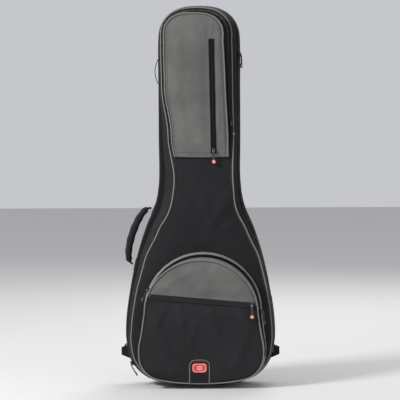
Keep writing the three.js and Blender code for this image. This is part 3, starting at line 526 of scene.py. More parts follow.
def tube(path, across, up, closed=False, sides=10, reference=(0, 1, 0)):
    """A round or oval cord along a path. across and up are its half sizes; up points along the reference."""
    path = np.asarray(path, float)
    along = tangents(path, closed)
    side = unit(np.cross(np.broadcast_to(reference, path.shape), along))
    top = np.cross(along, side)
    turn = np.arange(sides) / sides * 2 * math.pi
    across = np.broadcast_to(across, len(path))[:, None, None]
    up = np.broadcast_to(up, len(path))[:, None, None]
    rows = path[:, None] + side[:, None] * (np.cos(turn)[None, :, None] * across)
    rows = rows + top[:, None] * (np.sin(turn)[None, :, None] * up)
    return capped(rows, closed)


def bead(segments=6, rings=4):
    """A round bead of half size one, to stretch into stitches and zip teeth."""
    turn = np.arange(segments) / segments * 2 * math.pi
    rows = [np.array([(0, 0, 1.0)])]
    for k in range(1, rings):
        polar = k / rings * math.pi
        flat = np.stack([np.cos(turn), np.sin(turn)], axis=1) * math.sin(polar)
        rows.append(np.concatenate([flat, np.full((segments, 1), math.cos(polar))], axis=1))
    rows.append(np.array([(0, 0, -1.0)]))
    faces = [(0, 1 + k, 1 + (k + 1) % segments) for k in range(segments)]
    for r in range(rings - 2):
        a, b = 1 + r * segments, 1 + (r + 1) * segments
        faces += [(a + k, b + k, b + (k + 1) % segments, a + (k + 1) % segments) for k in range(segments)]
    last = 1 + (rings - 1) * segments
    a = last - segments
    faces += [(a + k, last, a + (k + 1) % segments) for k in range(segments)]
    return np.concatenate(rows), faces


BEAD = bead()


def beads(centres, along, normal, size):
    """A bead at each centre, its half sizes given along, across and away from the surface."""
    points, faces = BEAD
    along = unit(along)
    normal = unit(normal - along * np.sum(normal * along, axis=1, keepdims=True))
    across = np.cross(normal, along)
    frames = np.stack([along, across, normal], axis=1)
    placed = centres[:, None] + (points * np.asarray(size)) @ frames
    shifted = [tuple(k + len(points) * i for k in face) for i in range(len(centres)) for face in faces]
    flat = placed.reshape(-1, 3)
    corner = np.array([k for face in shifted for k in face])
    return flat, shifted, flat[corner][:, (0, 2)]


def spaced(path, normal, step, closed=False):
    """Points every step along a path, with the direction there and the normal."""
    path = np.asarray(path, float)
    normal = np.broadcast_to(normal, path.shape)
    if closed:
        path = np.concatenate([path, path[:1]])
        normal = np.concatenate([normal, normal[:1]])
    length = run_length(path)
    count = max(int(length[-1] / step), 1)
    at = (np.arange(count) + 0.5) * length[-1] / count
    pick = [np.interp(at, length, path[:, k]) for k in range(3)]
    face = [np.interp(at, length, normal[:, k]) for k in range(3)]
    ahead = [np.interp(at + step * 0.3, length, path[:, k]) for k in range(3)]
    behind = [np.interp(at - step * 0.3, length, path[:, k]) for k in range(3)]
    return np.array(pick).T, unit(np.array(ahead).T - np.array(behind).T), unit(np.array(face).T)


def stitching(path, normal, closed=False, step=4.2 * MM, width=0.42 * MM, lift=0.15 * MM):
    """A row of stitches lying on a path."""
    centres, along, face = spaced(path, normal, step, closed)
    return beads(centres + face * lift, along, face, (step * 0.38, width, width * 0.7))


def teeth(path, normal, side, closed=False, step=2.7 * MM, reach=2.1 * MM, lift=0.1 * MM):
    """One side's row of zip teeth: side is 1 or -1 across the path."""
    centres, along, face = spaced(path, normal, step, closed)
    across = np.cross(face, along)
    shift = across * (side * reach * 0.72) + along * (side * step * 0.25)
    return beads(centres + shift + face * lift, across, face, (reach, step * 0.21, 0.55 * MM))


def coil(path, normal, **sizes):
    """Both sides' zip teeth along a path."""
    return joined(teeth(path, normal, 1, **sizes), teeth(path, normal, -1, **sizes))


# ---------------------------------------------------------------- shared surface tools
def distance_to(points, loop):
    """Distance in the x-z plane from each point to the nearest of a loop's points."""
    flat = points[:, (0, 2)]
    edge = loop[:, (0, 2)]
    best = np.full(len(flat), 1e9)
    for start in range(0, len(edge), 40):
        gap = flat[:, None] - edge[None, start : start + 40]
        best = np.minimum(best, np.sqrt((gap**2).sum(axis=2)).min(axis=1))
    return best


def paired_rows(loop, columns, floor=None):
    """Rows from a loop's left to its right, from the bottom up. The loop starts at the bottom."""
    half = len(loop) // 2
    right = loop[: half]
    left = loop[np.r_[0, len(loop) - 1 : len(loop) - half : -1]]
    if floor is not None:
        first = max(int(np.sum((right[:, 2] <= floor + 1e-6) & (left[:, 2] <= floor + 1e-6))) - 1, 0)
        right, left = right[first:], left[first:]
    t = np.linspace(0, 1, columns)[None, :, None]
    return lerp(left[:, None], right[:, None], t)


def distance_to_line(points, a, b):
    """Distance in the x-z plane from points to the stretch from a to b."""
    flat = points[:, (0, 2)]
    a, b = np.asarray(a)[[0, 2]], np.asarray(b)[[0, 2]]
    t = np.clip((flat - a) @ (b - a) / np.sum((b - a) ** 2), 0, 1)
    return np.linalg.norm(flat - a - t[:, None] * (b - a), axis=1)


def point_at(loop, z, side):
    """The point of a loop at a height on its left (-1) or right (1), with the outward direction there."""
    out = outward(loop)
    middle = loop[:, 0].mean()
    for i in range(len(loop)):
        a, b = loop[i], loop[(i + 1) % len(loop)]
        beside = (a[0] - middle) * side > 0 and (b[0] - middle) * side > 0
        if beside and (a[2] - z) * (b[2] - z) <= 0 and a[2] != b[2]:
            share = (z - a[2]) / (b[2] - a[2])
            return lerp(a, b, share), unit(lerp(out[i], out[(i + 1) % len(loop)], share))
    raise ValueError(f"no point at height {z}")


def tape(line, normal, half, height, pucker=0.0, columns=9, wave=11 * MM):
    """A zip's cloth along a line, thinner at its edges and puckered by its stitching."""
    line = np.asarray(line, float)
    normal = unit(np.broadcast_to(normal, line.shape))
    along = tangents(line)
    across = unit(np.cross(normal, along))
    s = np.linspace(-1, 1, columns)
    length = run_length(line)
    rise = height * (1 - np.abs(s) ** 6 * 0.7)
    wrinkle = np.sin(length / wave * 2 * math.pi + 1.3 * np.sin(length / (wave * 3.7)))[:, None]
    rise = rise[None, :] + pucker * wrinkle * np.abs(s)[None, :] ** 1.5
    edge = 1 + pucker / half * 0.8 * np.cos(length / wave * 2 * math.pi)[:, None]
    outer = line[:, None] + across[:, None] * (s[None, :] * half * edge)[:, :, None]
    outer = outer + normal[:, None] * rise[:, :, None]
    inner = line[:, None] + across[:, None] * (s[None, :] * half * 0.98)[:, :, None]
    return shell(outer, inner + normal[:, None] * (0.05 * MM))


# ---------------------------------------------------------------- padded panels
PANEL_EDGE = PIPING + 0.7 * MM
PANEL_BACK = 12.6 * MM
PANEL_COLUMNS = 73
LINING_INSET = 12.3 * MM
SEAM_DIP = 1.4 * MM
SEAM_WIDTH = 7 * MM
QUILT_HEIGHTS = (0.2, 0.33, 0.46, 0.72, 0.85)


def softness(points, fold, size, seed):
    """Shallow folds that run mostly up and down a standing bag."""
    stretched = points * np.array([1.0, 1.0, 0.45])
    return fold * (0.7 * ripple(stretched, size, seed) + 0.3 * ripple(points, size * 0.35, seed + 1))


def diagonal_fold(points, a, b, width, height):
    """A soft ridge between two points on a panel."""
    return height * np.exp(-((distance_to_line(points, (a[0], 0, a[1]), (b[0], 0, b[1])) / width) ** 2))


def lining_rows(y, count):
    """The lining's rows, level with the panel's: its lowest row is repeated where the panel starts lower."""
    inside = paired_rows(ring(y, WALL + GAP, LINING_INSET), PANEL_COLUMNS, LINING_INSET)
    return np.concatenate([inside[:1]] * max(count - len(inside), 0) + [inside[-count:]])


def front_panel():
    loop = ring(FRONT_Y, PANEL_EDGE, 2 * PIPING)
    rows = paired_rows(loop, PANEL_COLUMNS, 2 * PIPING)
    flat = rows.reshape(-1, 3)
    edge = distance_to(flat, loop)
    seam = np.exp(-((edge / SEAM_WIDTH) ** 2))
    crown = 2.4 * MM * smooth(edge / (45 * MM))
    crown = crown + softness(flat, 1.0 * MM, 75 * MM, 1) * smooth(edge / (20 * MM))
    waist = np.exp(-(((flat[:, 2] - 0.5) / 0.11) ** 2))
    crown = crown + waist * (
        diagonal_fold(flat, (-0.13, 0.55), (-0.02, 0.41), 17 * MM, 3.8 * MM)
        + diagonal_fold(flat, (0.12, 0.6), (0.03, 0.46), 18 * MM, 3.4 * MM)
        - diagonal_fold(flat, (-0.07, 0.6), (0.05, 0.43), 14 * MM, 2.2 * MM)
        + diagonal_fold(flat, (-0.02, 0.62), (0.02, 0.5), 13 * MM, 2.2 * MM)
        + diagonal_fold(flat, (0.1, 0.47), (0.0, 0.41), 12 * MM, 2.2 * MM)
    )
    pocket = smooth((flat[:, 2] - 0.63) / 0.03) * 1.2 * MM
    outer = flat.copy()
    outer[:, 1] -= np.maximum(crown - pocket, 0.1 * MM) - SEAM_DIP * seam
    inner = lining_rows(FRONT_Y, len(rows)).reshape(-1, 3)
    inner[:, 1] = FRONT_Y + PANEL_BACK
    inner[:, 1] += softness(inner, 0.5 * MM, 60 * MM, 2)
    made = solid("cloth_front_panel", shell(outer.reshape(rows.shape), inner.reshape(rows.shape)),
                 ["black_cloth", "lining"], "lid",
                 ["front_panel_shell", "front_panel_foam", "front_panel_lining"], flat_uv=True)
    line_inside(made, lambda normal: normal[1] > 0.35)


def line_inside(made, inside):
    """Faces that look into the bag take the second material."""
    for face in made.data.polygons:
        if inside(face.normal):
            face.material_index = 1


def back_panel():
    loop = ring(BACK_Y, PANEL_EDGE, 2 * PIPING)
    rows = paired_rows(loop, PANEL_COLUMNS, 2 * PIPING)
    flat = rows.reshape(-1, 3)
    edge = distance_to(flat, loop)
    crown = 2.5 * MM * smooth(edge / (40 * MM))
    crown = crown + softness(flat, 0.8 * MM, 80 * MM, 3) * smooth(edge / (20 * MM))
    for height in QUILT_HEIGHTS:
        groove = np.exp(-(((flat[:, 2] - height) / (3.5 * MM)) ** 2))
        crown -= 2.2 * MM * groove * smooth(edge / (18 * MM))
    near_yoke = np.exp(-(((flat[:, 2] - 0.66) / 0.045) ** 2)) * smooth((0.1 - np.abs(flat[:, 0])) / 0.02)
    outer = flat.copy()
    outer[:, 1] += crown * (1 - near_yoke) - SEAM_DIP * np.exp(-((edge / SEAM_WIDTH) ** 2))
    inner = lining_rows(BACK_Y, len(rows)).reshape(-1, 3)
    inner[:, 1] = BACK_Y - PANEL_BACK - softness(inner, 0.5 * MM, 60 * MM, 4)
    made = solid("cloth_back_panel", shell(outer.reshape(rows.shape), inner.reshape(rows.shape)),
                 ["black_cloth", "lining"], "case",
                 ["back_panel_shell", "back_panel_foam", "back_panel_lining"], flat_uv=True)
    line_inside(made, lambda normal: normal[1] < -0.35)
    lines = []
    for height in QUILT_HEIGHTS:
        a, b = point_at(loop, height, -1)[0], point_at(loop, height, 1)[0]
        line = lerp(a, b, np.linspace(0.06, 0.94, 30)[:, None])
        line[:, 1] = BACK_Y + 1.0 * MM
        lines.append(stitching(line, (0, 1, 0), width=0.5 * MM))
    solid("back_quilting", joined(*lines), "thread_black", "case")


GUSSET_REACH = 55.3 * MM


def gusset_fold(rows, depth_y, zip_edge, seed):
    """How far the side wall's cloth stands out: puckers by the zip, shallow folds across the wall."""
    n, m = rows.shape[:2]
    length = run_length(rows[:, 0])[:, None]
    near = np.exp(-np.abs(depth_y - zip_edge)[None, :] / (9 * MM))
    z = rows[:, 0, 2][:, None]
    tight = 0.35 + 0.9 * np.exp(-(((z - 0.59) / 0.05) ** 2)) + 0.5 * np.exp(-(((z - 0.42) / 0.04) ** 2))
    phase = 2.1 * np.sin(length / 0.061 + seed)
    pucker = 0.55 * MM * tight * near * np.sin(length / (12 * MM) * 2 * math.pi + phase)
    flat = rows.reshape(-1, 3)
    folds = softness(flat, 0.7 * MM, 55 * MM, seed).reshape(n, m)
    middle = np.sin(np.linspace(0, math.pi, m))[None, :]
    return pucker + folds * middle + 0.9 * MM * middle


def above_floor(path, least):
    raised = path.copy()
    raised[:, 2] = np.maximum(raised[:, 2], least)
    return raised


def gusset(name, body, depths, zip_edge, node, seed):
    loops = np.stack([ring(y) for y in depths], axis=1)
    out = np.stack([outward(ring(y)) for y in depths], axis=1)
    fold = gusset_fold(loops, depths, zip_edge, seed)
    floor_room = smooth((loops[:, :, 2] - 1 * MM) / (30 * MM))
    outer = loops + out * (fold * np.where(loops[:, :, 2] < 30 * MM, floor_room, 1))[:, :, None]
    outer[:, :, 2] = np.maximum(outer[:, :, 2], 0)
    inner = np.stack([ring(y, WALL) for y in depths[:: 3]], axis=1)
    made = solid(name, shell(outer, inner, closed=True), ["black_cloth", "lining"], body, [node])
    for face in made.data.polygons:
        spot = face.center
        towards = Vector((-spot.x, 0, np.clip(spot.z, 0.2, 0.98) - spot.z))
        if face.normal.dot(towards) > 0.2 * towards.length and abs(face.normal.y) < 0.7:
            face.material_index = 1
    return outer, out


def gussets():
    front_depths = np.linspace(-GUSSET_REACH, ZIP_Y - TAPE_HALF - 0.2 * MM, 10)
    rear_depths = np.linspace(ZIP_Y + TAPE_HALF + 0.2 * MM, GUSSET_REACH, 25)
    outer, out = gusset("cloth_front_gusset", "lid", front_depths, ZIP_Y - TAPE_HALF, "front_gusset_band", 5)
    seam = above_floor(outer[:, 8] + out[:, 8] * 0.1 * MM, 0.6 * MM)
    solid("front_gusset_stitching", stitching(seam, out[:, 8], True), "thread_black", "lid")
    outer, out = gusset("cloth_rear_gusset", "case", rear_depths, ZIP_Y + TAPE_HALF, "rear_gusset_band", 6)
    lines = []
    for k in (1, 13):
        seam = above_floor(outer[:, k] + out[:, k] * 0.1 * MM, 0.6 * MM)
        lines.append(stitching(seam, out[:, k], True))
    solid("rear_gusset_stitching", joined(*lines), "thread_black", "case")


def main_zip():
    for name, body, span, side, node in (
        ("main_zip_front", "lid", (ZIP_Y - TAPE_HALF, ZIP_Y - 0.2 * MM), 1, "main_zip_tape_front"),
        ("main_zip_rear", "case", (ZIP_Y + 0.2 * MM, ZIP_Y + TAPE_HALF), -1, "main_zip_tape_rear"),
    ):
        depths = np.linspace(*span, 5)
        loops = np.stack([ring(y) for y in depths], axis=1)
        out = outward(ring(ZIP_Y))
        rise = 0.3 * MM + 0.5 * MM * np.exp(-(((np.abs(depths - ZIP_Y) - 3 * MM) / (1.8 * MM)) ** 2))
        outer = loops + out[:, None] * rise[None, :, None]
        outer[:, :, 2] = np.maximum(outer[:, :, 2], 0)
        inner = np.stack([ring(y, 3 * MM) for y in depths[::2]], axis=1)
        solid(f"{name}_tape", shell(outer, inner, True), "zip_tape", body, [node])
        seam = ring(ZIP_Y)
        row = teeth(above_floor(seam + out * 0.1 * MM, 1.4 * MM), out, side, True)
        solid(f"{name}_teeth", row, "zip_coil", body)


def pipings():
    for name, body, y, node in (
        ("cord_front_piping", "lid", FRONT_Y + 2 * MM, "front_piping"),
        ("cord_rear_piping", "case", BACK_Y - 2 * MM, "rear_piping"),
    ):
        path = ring(y, 0, PIPING)
        made = solid(name, tube(path, 2.0 * MM, 2.0 * MM, True, 12), "piping", body, [node])
        sign = -1 if body == "lid" else 1
        inner_line = ring(y, PIPING + 2.2 * MM, 2 * PIPING + 1 * MM) + np.array([0, sign * 1.3 * MM, 0])
        solid(f"{name}_stitching", stitching(inner_line, (0, sign, 0), True, 4.0 * MM), "thread_grey", body)


# ---------------------------------------------------------------- the inside
def neck_cradle():
    """A padded block with a round saddle for the neck."""
    low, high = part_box("neck_cradle")
    top, base = low.y, high.y
    half = high.x
    turn = np.linspace(0, math.pi, 25)
    saddle_half = 34 * MM
    room = base - top - 14 * MM
    curve = [(-saddle_half * math.cos(t), top + room * math.sin(t)) for t in turn[1:-1]]
    left, right = [(-half, top), (-saddle_half, top)], [(saddle_half, top), (half, top)]
    profile = np.array(left + curve + right)
    heights = np.linspace(low.z, high.z, 21)
    swell = np.sin((heights - low.z) / (high.z - low.z) * math.pi) ** 0.35
    outer = np.zeros((len(heights), len(profile), 3))
    outer[:, :, 0] = profile[:, 0] * (0.975 + 0.025 * swell[:, None])
    outer[:, :, 1] = base - (base - profile[:, 1]) * (0.86 + 0.14 * swell[:, None])
    outer[:, :, 2] = heights[:, None]
    inner = outer[:, [0, -1]].copy()
    inner[:, :, 1] = base
    cradle = solid("cloth_neck_cradle", shell(outer, inner), "lining", "case", ["neck_cradle"])


def end_pad():
    """The round-cornered pad under the guitar's end pin."""
    rows = []
    low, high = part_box("end_pin_pad")
    cx, cy, cz = (low + high) / 2
    sx, sy, sz = (high - low) / 2
    turns = np.arange(24) / 24 * 2 * math.pi
    c, s = np.cos(turns), np.sin(turns)
    for t in np.linspace(-1, 1, 13):
        ease = (1 - abs(t) ** 4) ** 0.25 if abs(t) < 1 else 0.3
        x = np.sign(c) * np.abs(c) ** 0.35 * sx * (0.85 + 0.15 * ease)
        y = np.sign(s) * np.abs(s) ** 0.45 * sy * (0.85 + 0.15 * ease)
        rows.append(np.stack([cx + x, cy + y, np.full(len(turns), cz + t * sz)], axis=1))
    pad = solid("cloth_end_pad", capped(rows, axes=(0, 1)), "lining", "case", ["end_pin_pad"])


def neck_straps():
    for side, word in ((-1, "left"), (1, "right")):
        low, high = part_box(f"neck_strap_{word}")
        x = np.linspace(high.x if side > 0 else low.x, low.x if side > 0 else high.x, 15)
        z = np.linspace(low.z, high.z, 9)
        bow = 0.35 * MM * np.sin(np.linspace(0, 3 * math.pi, 15))[:, None]
        outer = np.stack(np.broadcast_arrays(x[:, None], low.y + 0.5 * MM + bow, z[None, :]), axis=2)
        inner = outer.copy()
        inner[:, :, 1] += 1.9 * MM
        part = f"neck_strap_{word}"
        solid(f"cloth_{part}", shell(outer, inner), "webbing", part, [part])


def fold_strip():
    """Cloth over the stretch where the zip leaves the lid sewn on."""
    low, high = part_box("lid_fold_strip")
    heights = np.linspace(low.z, high.z, 33)
    depths = np.linspace(ZIP_Y - 16 * MM, high.y, 25)
    outer = np.stack([[point_at_side(y, z, 1.6 * MM) for y in depths] for z in heights])
    inner = np.stack([[point_at_side(y, z, 0.3 * MM) for y in depths] for z in heights])
    strip = solid("cloth_fold_strip", shell(outer, inner), "black_cloth", None, ["lid_fold_strip"])
    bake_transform(strip)


def point_at_side(y, z, lift):
    at, out = point_at(ring(y), z, 1)
    return at + out * lift


# ---------------------------------------------------------------- upper pocket
UPPER_ZIP_TOP = HEAD_BASE + 9 * MM
UPPER_ZIP_FOOT = UPPER_BOTTOM + 9 * MM
UPPER_COLUMNS = 65
WALL_CLOTH = 2.5 * MM


def upper_zip_point(z):
    share = (z - UPPER_ZIP_FOOT) / (UPPER_ZIP_TOP - UPPER_ZIP_FOOT)
    foot_y, base_y = upper_front_y(UPPER_ZIP_FOOT), upper_front_y(HEAD_BASE)
    y = lerp(foot_y, base_y, (z - UPPER_ZIP_FOOT) / (HEAD_BASE - UPPER_ZIP_FOOT))
    return np.array([lerp(40 * MM, 34 * MM, share), y, z])


def pocket_panel(rows, front_y, edge_loop, crown, flat_line, seed, dents=()):
    """The face of a pocket: crowned cloth that stays flat along its zip."""
    flat = rows.reshape(-1, 3).copy()
    edge = distance_to(flat, edge_loop)
    from_zip = distance_to_line(flat, *flat_line)
    free = smooth((from_zip - 9 * MM) / (30 * MM))
    rise = crown * smooth(edge / (38 * MM)) * free
    rise += softness(flat, 0.9 * MM, 42 * MM, seed) * smooth(edge / (14 * MM)) * (0.25 + 0.75 * free)
    pull = np.sin(flat[:, 2] / (13 * MM) * 2 * math.pi / 1.6 + 1.1 * np.sin(flat[:, 2] / 0.03))
    rise += 0.35 * MM * pull * np.exp(-(((from_zip - 12 * MM) / (9 * MM)) ** 2))
    for a, b, width, height in dents:
        rise += diagonal_fold(flat, a, b, width, height) * smooth(edge / (12 * MM))
    rise -= 1.1 * MM * np.exp(-((edge / (4.5 * MM)) ** 2))
    outer = flat.copy()
    outer[:, 1] = front_y(flat[:, 2]) - rise
    inner = outer.copy()
    inner[:, 1] += 1.5 * MM
    return outer.reshape(rows.shape), inner.reshape(rows.shape)


def wall_strip(loop_at, shares, thickness, lift=0.0, pucker=0.0, wave=12 * MM, ends=None, seed=0):
    """A strip of a pocket's side wall between two shares of its depth, with puckers across it."""
    loops = np.stack([loop_at(s) for s in shares], axis=1)
    outs = np.stack([outward(loop_at(s), False) for s in shares], axis=1)
    n, m = loops.shape[:2]
    length = run_length(loops[:, 0])[:, None]
    phase = 1.4 * np.sin(length / (wave * 2.9) + seed)
    across = np.sin(np.linspace(0, math.pi, m))[None, :]
    rise = lift + pucker * np.sin(length / wave * 2 * math.pi + phase) * (0.4 + 0.6 * across)
    outer = loops + outs * (rise + np.zeros((n, m)))[:, :, None]
    inner = loops + outs * (lift - thickness)
    if ends is not None:
        outer, inner = outer[ends], inner[ends]
    return shell(outer, inner), outer, outs if ends is None else outs[ends]


def upper_wall():
    def short_of_piping(share):
        return upper_loop(share, POCKET_PIPING + GAP)

    shape, outer, outs = wall_strip(
        short_of_piping, np.linspace(0, 1, 9), WALL_CLOTH, 0, 0.45 * MM, 21 * MM, seed=2
    )
    wall = solid("cloth_upper_wall", shape, "black_cloth", "lid", ["upper_pocket_gusset"])
    seam_line = outer[:, 1] + outs[:, 1] * 0.1 * MM
    solid("upper_wall_stitching", stitching(seam_line, outs[:, 1]), "thread_black", "lid")


def upper_side_zip():
    zip_centre = upper_loop(0.69)
    keep = (zip_centre[:, 0] > -NECK_HALF * 0.3) & (zip_centre[:, 2] > UPPER_BOTTOM + 20 * MM)
    ends = np.flatnonzero(keep)
    tape_shares = np.linspace(0.53, 0.85, 7)
    shape, outer, outs = wall_strip(upper_loop, tape_shares, 1.0 * MM, 1.6 * MM, 0.22 * MM, 10 * MM, ends, 4)
    solid("upper_side_zip_tape", shape, "zip_tape", "lid", ["upper_pocket_gusset_zip"])
    middle, out = outer[:, 3] + outs[:, 3] * 0.35 * MM, outs[:, 3]
    solid("upper_side_zip_teeth", coil(middle, out), "zip_coil", "lid")


def upper_panel():
    rim = upper_loop(1)
    cord = solid("cord_upper_piping", tube(rim, POCKET_PIPING, POCKET_PIPING, False, 12), "piping", "lid",
                 ["upper_pocket_piping"])
    edge_in = rim - outward(rim, False) * (POCKET_PIPING + 0.2 * MM)
    half = len(edge_in) // 2
    t = np.linspace(0, 1, UPPER_COLUMNS)[None, :, None]
    rows = lerp(edge_in[::-1][:half, None], edge_in[:half, None], t)
    zip_line = (upper_zip_point(UPPER_ZIP_FOOT), upper_zip_point(UPPER_ZIP_TOP))
    closed_edge = np.concatenate([edge_in, lerp(edge_in[-1], edge_in[0], np.linspace(0, 1, 30)[:, None])])
    folds = [
        ((0.052, 0.98), (0.055, 0.75), 6 * MM, 1.0 * MM), ((0.066, 0.95), (0.07, 0.72), 5 * MM, 0.9 * MM),
        ((-0.06, 0.98), (0.0, 0.78), 22 * MM, 1.3 * MM), ((-0.05, 0.86), (-0.01, 0.7), 16 * MM, -0.9 * MM),
        ((0.01, 1.03), (0.015, 1.0), 5 * MM, 0.9 * MM), ((0.035, 1.035), (0.032, 1.0), 5 * MM, 0.8 * MM),
    ]
    outer, inner = pocket_panel(rows, upper_front_y, closed_edge, 3.2 * MM, zip_line, 8, folds)
    hem = np.exp(-(((outer[:, :, 2] - UPPER_BOTTOM) / (9 * MM)) ** 2))
    settle = hem * (outer[:, :, 1] - (FRONT_Y - 4 * MM))
    outer[:, :, 1] -= settle * 0.8
    inner[:, :, 1] -= settle * 0.8
    t = np.linspace(-1, 1, UPPER_COLUMNS)
    droop = 1.8 * MM * (1 - t**2) * np.exp(-((outer[:, :, 2] - UPPER_BOTTOM) / (25 * MM)))
    outer[:, :, 2] -= droop
    inner[:, :, 2] -= droop
    panel = solid("cloth_upper_panel", shell(outer, inner), "grey_cloth", "lid", ["upper_pocket_panel"],
                  flat_uv=True)
    seam = outer[:, 2] * 0.6 + outer[:, 3] * 0.4
    other = outer[:, -3] * 0.6 + outer[:, -4] * 0.4
    forward = np.array([0, -0.3 * MM, 0])
    lines = [stitching(line + forward, (0, -1, 0), step=3.6 * MM) for line in (seam, other)]
    lines.append(stitching(outer[1] + forward, (0, -1, 0), step=3.6 * MM))
    solid("upper_panel_stitching", joined(*lines), "thread_black", "lid")
    # Painted shadow: a thin black cord along the grey panel's lower edge stands in for the shade under the
    # pocket's hem.
    painted_shadow_line = outer[0] + np.array([0, -0.1 * MM, -0.6 * MM])
    solid("upper_pocket_painted_shadow", tube(painted_shadow_line, 0.9 * MM, 0.8 * MM, False, 8, (0, 0, 1)), "black_cloth", "lid")


def upper_front_zip():
    heights = np.linspace(UPPER_ZIP_FOOT, UPPER_ZIP_TOP, 140)
    line = np.array([upper_zip_point(z) for z in heights])
    front_zip("upper_front_zip", line, TAPE_HALF, ["upper_front_zip_tape"], 0.25 * MM)


def front_zip(name, line, half, replaced, pucker, flap_material="zip_tape"):
    """A zip on a pocket's face: tape, two covering flaps, their stitching and the teeth between them."""
    upright = abs(line[-1, 2] - line[0, 2]) > 0.2
    sideways = np.array([1.0, 0, 0]) if upright else np.array([0, 0, 1.0])
    normal = unit(np.cross(tangents(line), sideways))
    normal = np.where(normal[:, 1:2] > 0, -normal, normal)
    across = unit(np.cross(normal, tangents(line)))
    base = tape(line, normal, half, 1.1 * MM, pucker, 13, 9 * MM)
    solid(f"{name}_cloth", base, "zip_tape", "lid", replaced)
    for side, word in ((-1, "a"), (1, "b")):
        middle = line + across * (side * half * 0.5) + normal * 0.9 * MM
        wave = 10.5 * MM + side * 0.8 * MM
        flap = tape(middle, normal, half * 0.43, 0.75 * MM, pucker * 0.9, 9, wave)
        solid(f"{name}_flap_{word}", flap, flap_material, "lid")
        seam = line + across * (side * half * 0.8) + normal * 1.8 * MM
        solid(f"{name}_stitching_{word}", stitching(seam, normal, step=3.4 * MM), "thread_black", "lid")
    rows = coil(line + normal * 1.25 * MM, normal, reach=1.1 * MM)
    solid(f"{name}_teeth", rows, "zip_coil", "lid")


# ---------------------------------------------------------------- lower pocket
LOWER_SLOPE = math.radians(-5)
LOWER_ZIP_HEIGHT = 251 * MM
ZIP_TAIL = 4
FRONT_WALL_END = 0.962
BOTTOM_COLUMNS = 91


def lower_part(loop, tail_from_arch):
    """The stretch of the lower pocket's wall over the arch and a little down each side."""
    tail = ZIP_TAIL * TAIL_STEPS // 2
    picked = np.r_[len(loop) - tail : len(loop), 0 : ARCH_STEPS + 1 + tail]
    if tail_from_arch:
        return loop[picked]
    return loop[ARCH_STEPS + tail : len(loop) - tail + 1]


def lower_zip_ends():
    height = LOWER_RADIUS - LOWER_LEAN
    rim = height + LOWER_FLARE
    margin = POCKET_PIPING + 4 * MM
    ends = []
    for side in (-1, 1):
        z = LOWER_ZIP_HEIGHT + side * math.tan(LOWER_SLOPE) * rim
        half = rim * math.sqrt(1 - ((z + 8 * MM - LOWER_CENTRE[1]) / height) ** 2) - margin
        end_z = LOWER_ZIP_HEIGHT + side * math.tan(LOWER_SLOPE) * half
        ends.append(np.array([LOWER_CENTRE[0] + LOWER_SHIFT + side * half, LOWER_Y, end_z]))
    return ends


def line_height(x):
    return LOWER_ZIP_HEIGHT + (x - LOWER_CENTRE[0]) * math.tan(LOWER_SLOPE)


def lower_face_y(z):
    return LOWER_Y + 0 * z


def lower_walls():
    def arch_at(share):
        return lower_part(lower_loop(share), True)

    def bottom_at(share):
        return lower_part(lower_loop(share), False)

    for name, shares, material, node, pucker, wave in (
        ("cloth_lower_wall_rear", (0, 0.495), "pale_trim", "lower_pocket_gusset_rear", 0.35 * MM, 33 * MM),
        ("cloth_lower_wall_zip", (0.5, 0.8), "zip_tape", "lower_pocket_gusset_zip", 0.3 * MM, 11 * MM),
        ("cloth_lower_wall_front", (0.805, FRONT_WALL_END), "grey_cloth", "lower_pocket_gusset_front",
         0.3 * MM, 17 * MM),
    ):
        shape, outer, outs = wall_strip(
            arch_at, np.linspace(*shares, 7), WALL_CLOTH, 0, pucker, wave, seed=len(name)
        )
        made = solid(name, shape, material, "lid", [node])
        if material == "zip_tape":
            middle, out = outer[:, 3] + outs[:, 3] * 0.5 * MM, outs[:, 3]
            solid("lower_arch_teeth", coil(middle, out), "zip_coil", "lid")
            lines = [stitching(outer[:, k] + outs[:, k] * 0.1 * MM, outs[:, k]) for k in (1, 5)]
            solid("lower_arch_stitching", joined(*lines), "thread_black", "lid")
        if material == "pale_trim":
            line = stitching(outer[:, 5] + outs[:, 5] * 0.1 * MM, outs[:, 5])
            solid("lower_rear_stitching", line, "thread_grey", "lid")
    shares = np.linspace(0, FRONT_WALL_END, 9)
    shape, outer, outs = wall_strip(bottom_at, shares, WALL_CLOTH, 0, 0.5 * MM, 38 * MM, seed=3)
    bottom = solid("cloth_lower_wall_bottom", shape, "grey_cloth", "lid", ["lower_pocket_gusset_bottom"])
    for word, end in (("left", slice(0, 4)), ("right", slice(-4, None))):
        lift = outs[end] * 0.9 * MM
        stop = shell(outer[end] + lift, outer[end] + lift * 0.1)
        solid(f"lower_zip_stop_{word}", stop, "black_cloth", "lid")


def lower_face():
    """The lower pocket's face: piping, the panels above and below the sloping zip, and the zip."""
    rim = lower_loop(1)
    cord = solid("cord_lower_piping", tube(rim, POCKET_PIPING, POCKET_PIPING, True, 12), "piping", "lid",
                 ["lower_pocket_piping"])

    face = rim - outward(rim) * (POCKET_PIPING + 0.2 * MM)
    face[:, 1] = LOWER_Y
    zip_line = lower_zip_ends()
    above = face[:, 2] > line_height(face[:, 0]) + GAP
    lower_top_panel(face[above], zip_line)
    start, stop = np.flatnonzero(above).max() + 1, np.flatnonzero(above).min()
    lower_bottom_panel(np.concatenate([face[start:], face[:stop]]), zip_line)
    lower_face_stitching(rim)
    line = lerp(*zip_line, np.linspace(0, 1, 150)[:, None])
    front_zip("lower_front_zip", line, TAPE_HALF, ["lower_front_zip_tape"], 0.45 * MM, "charcoal_cloth")


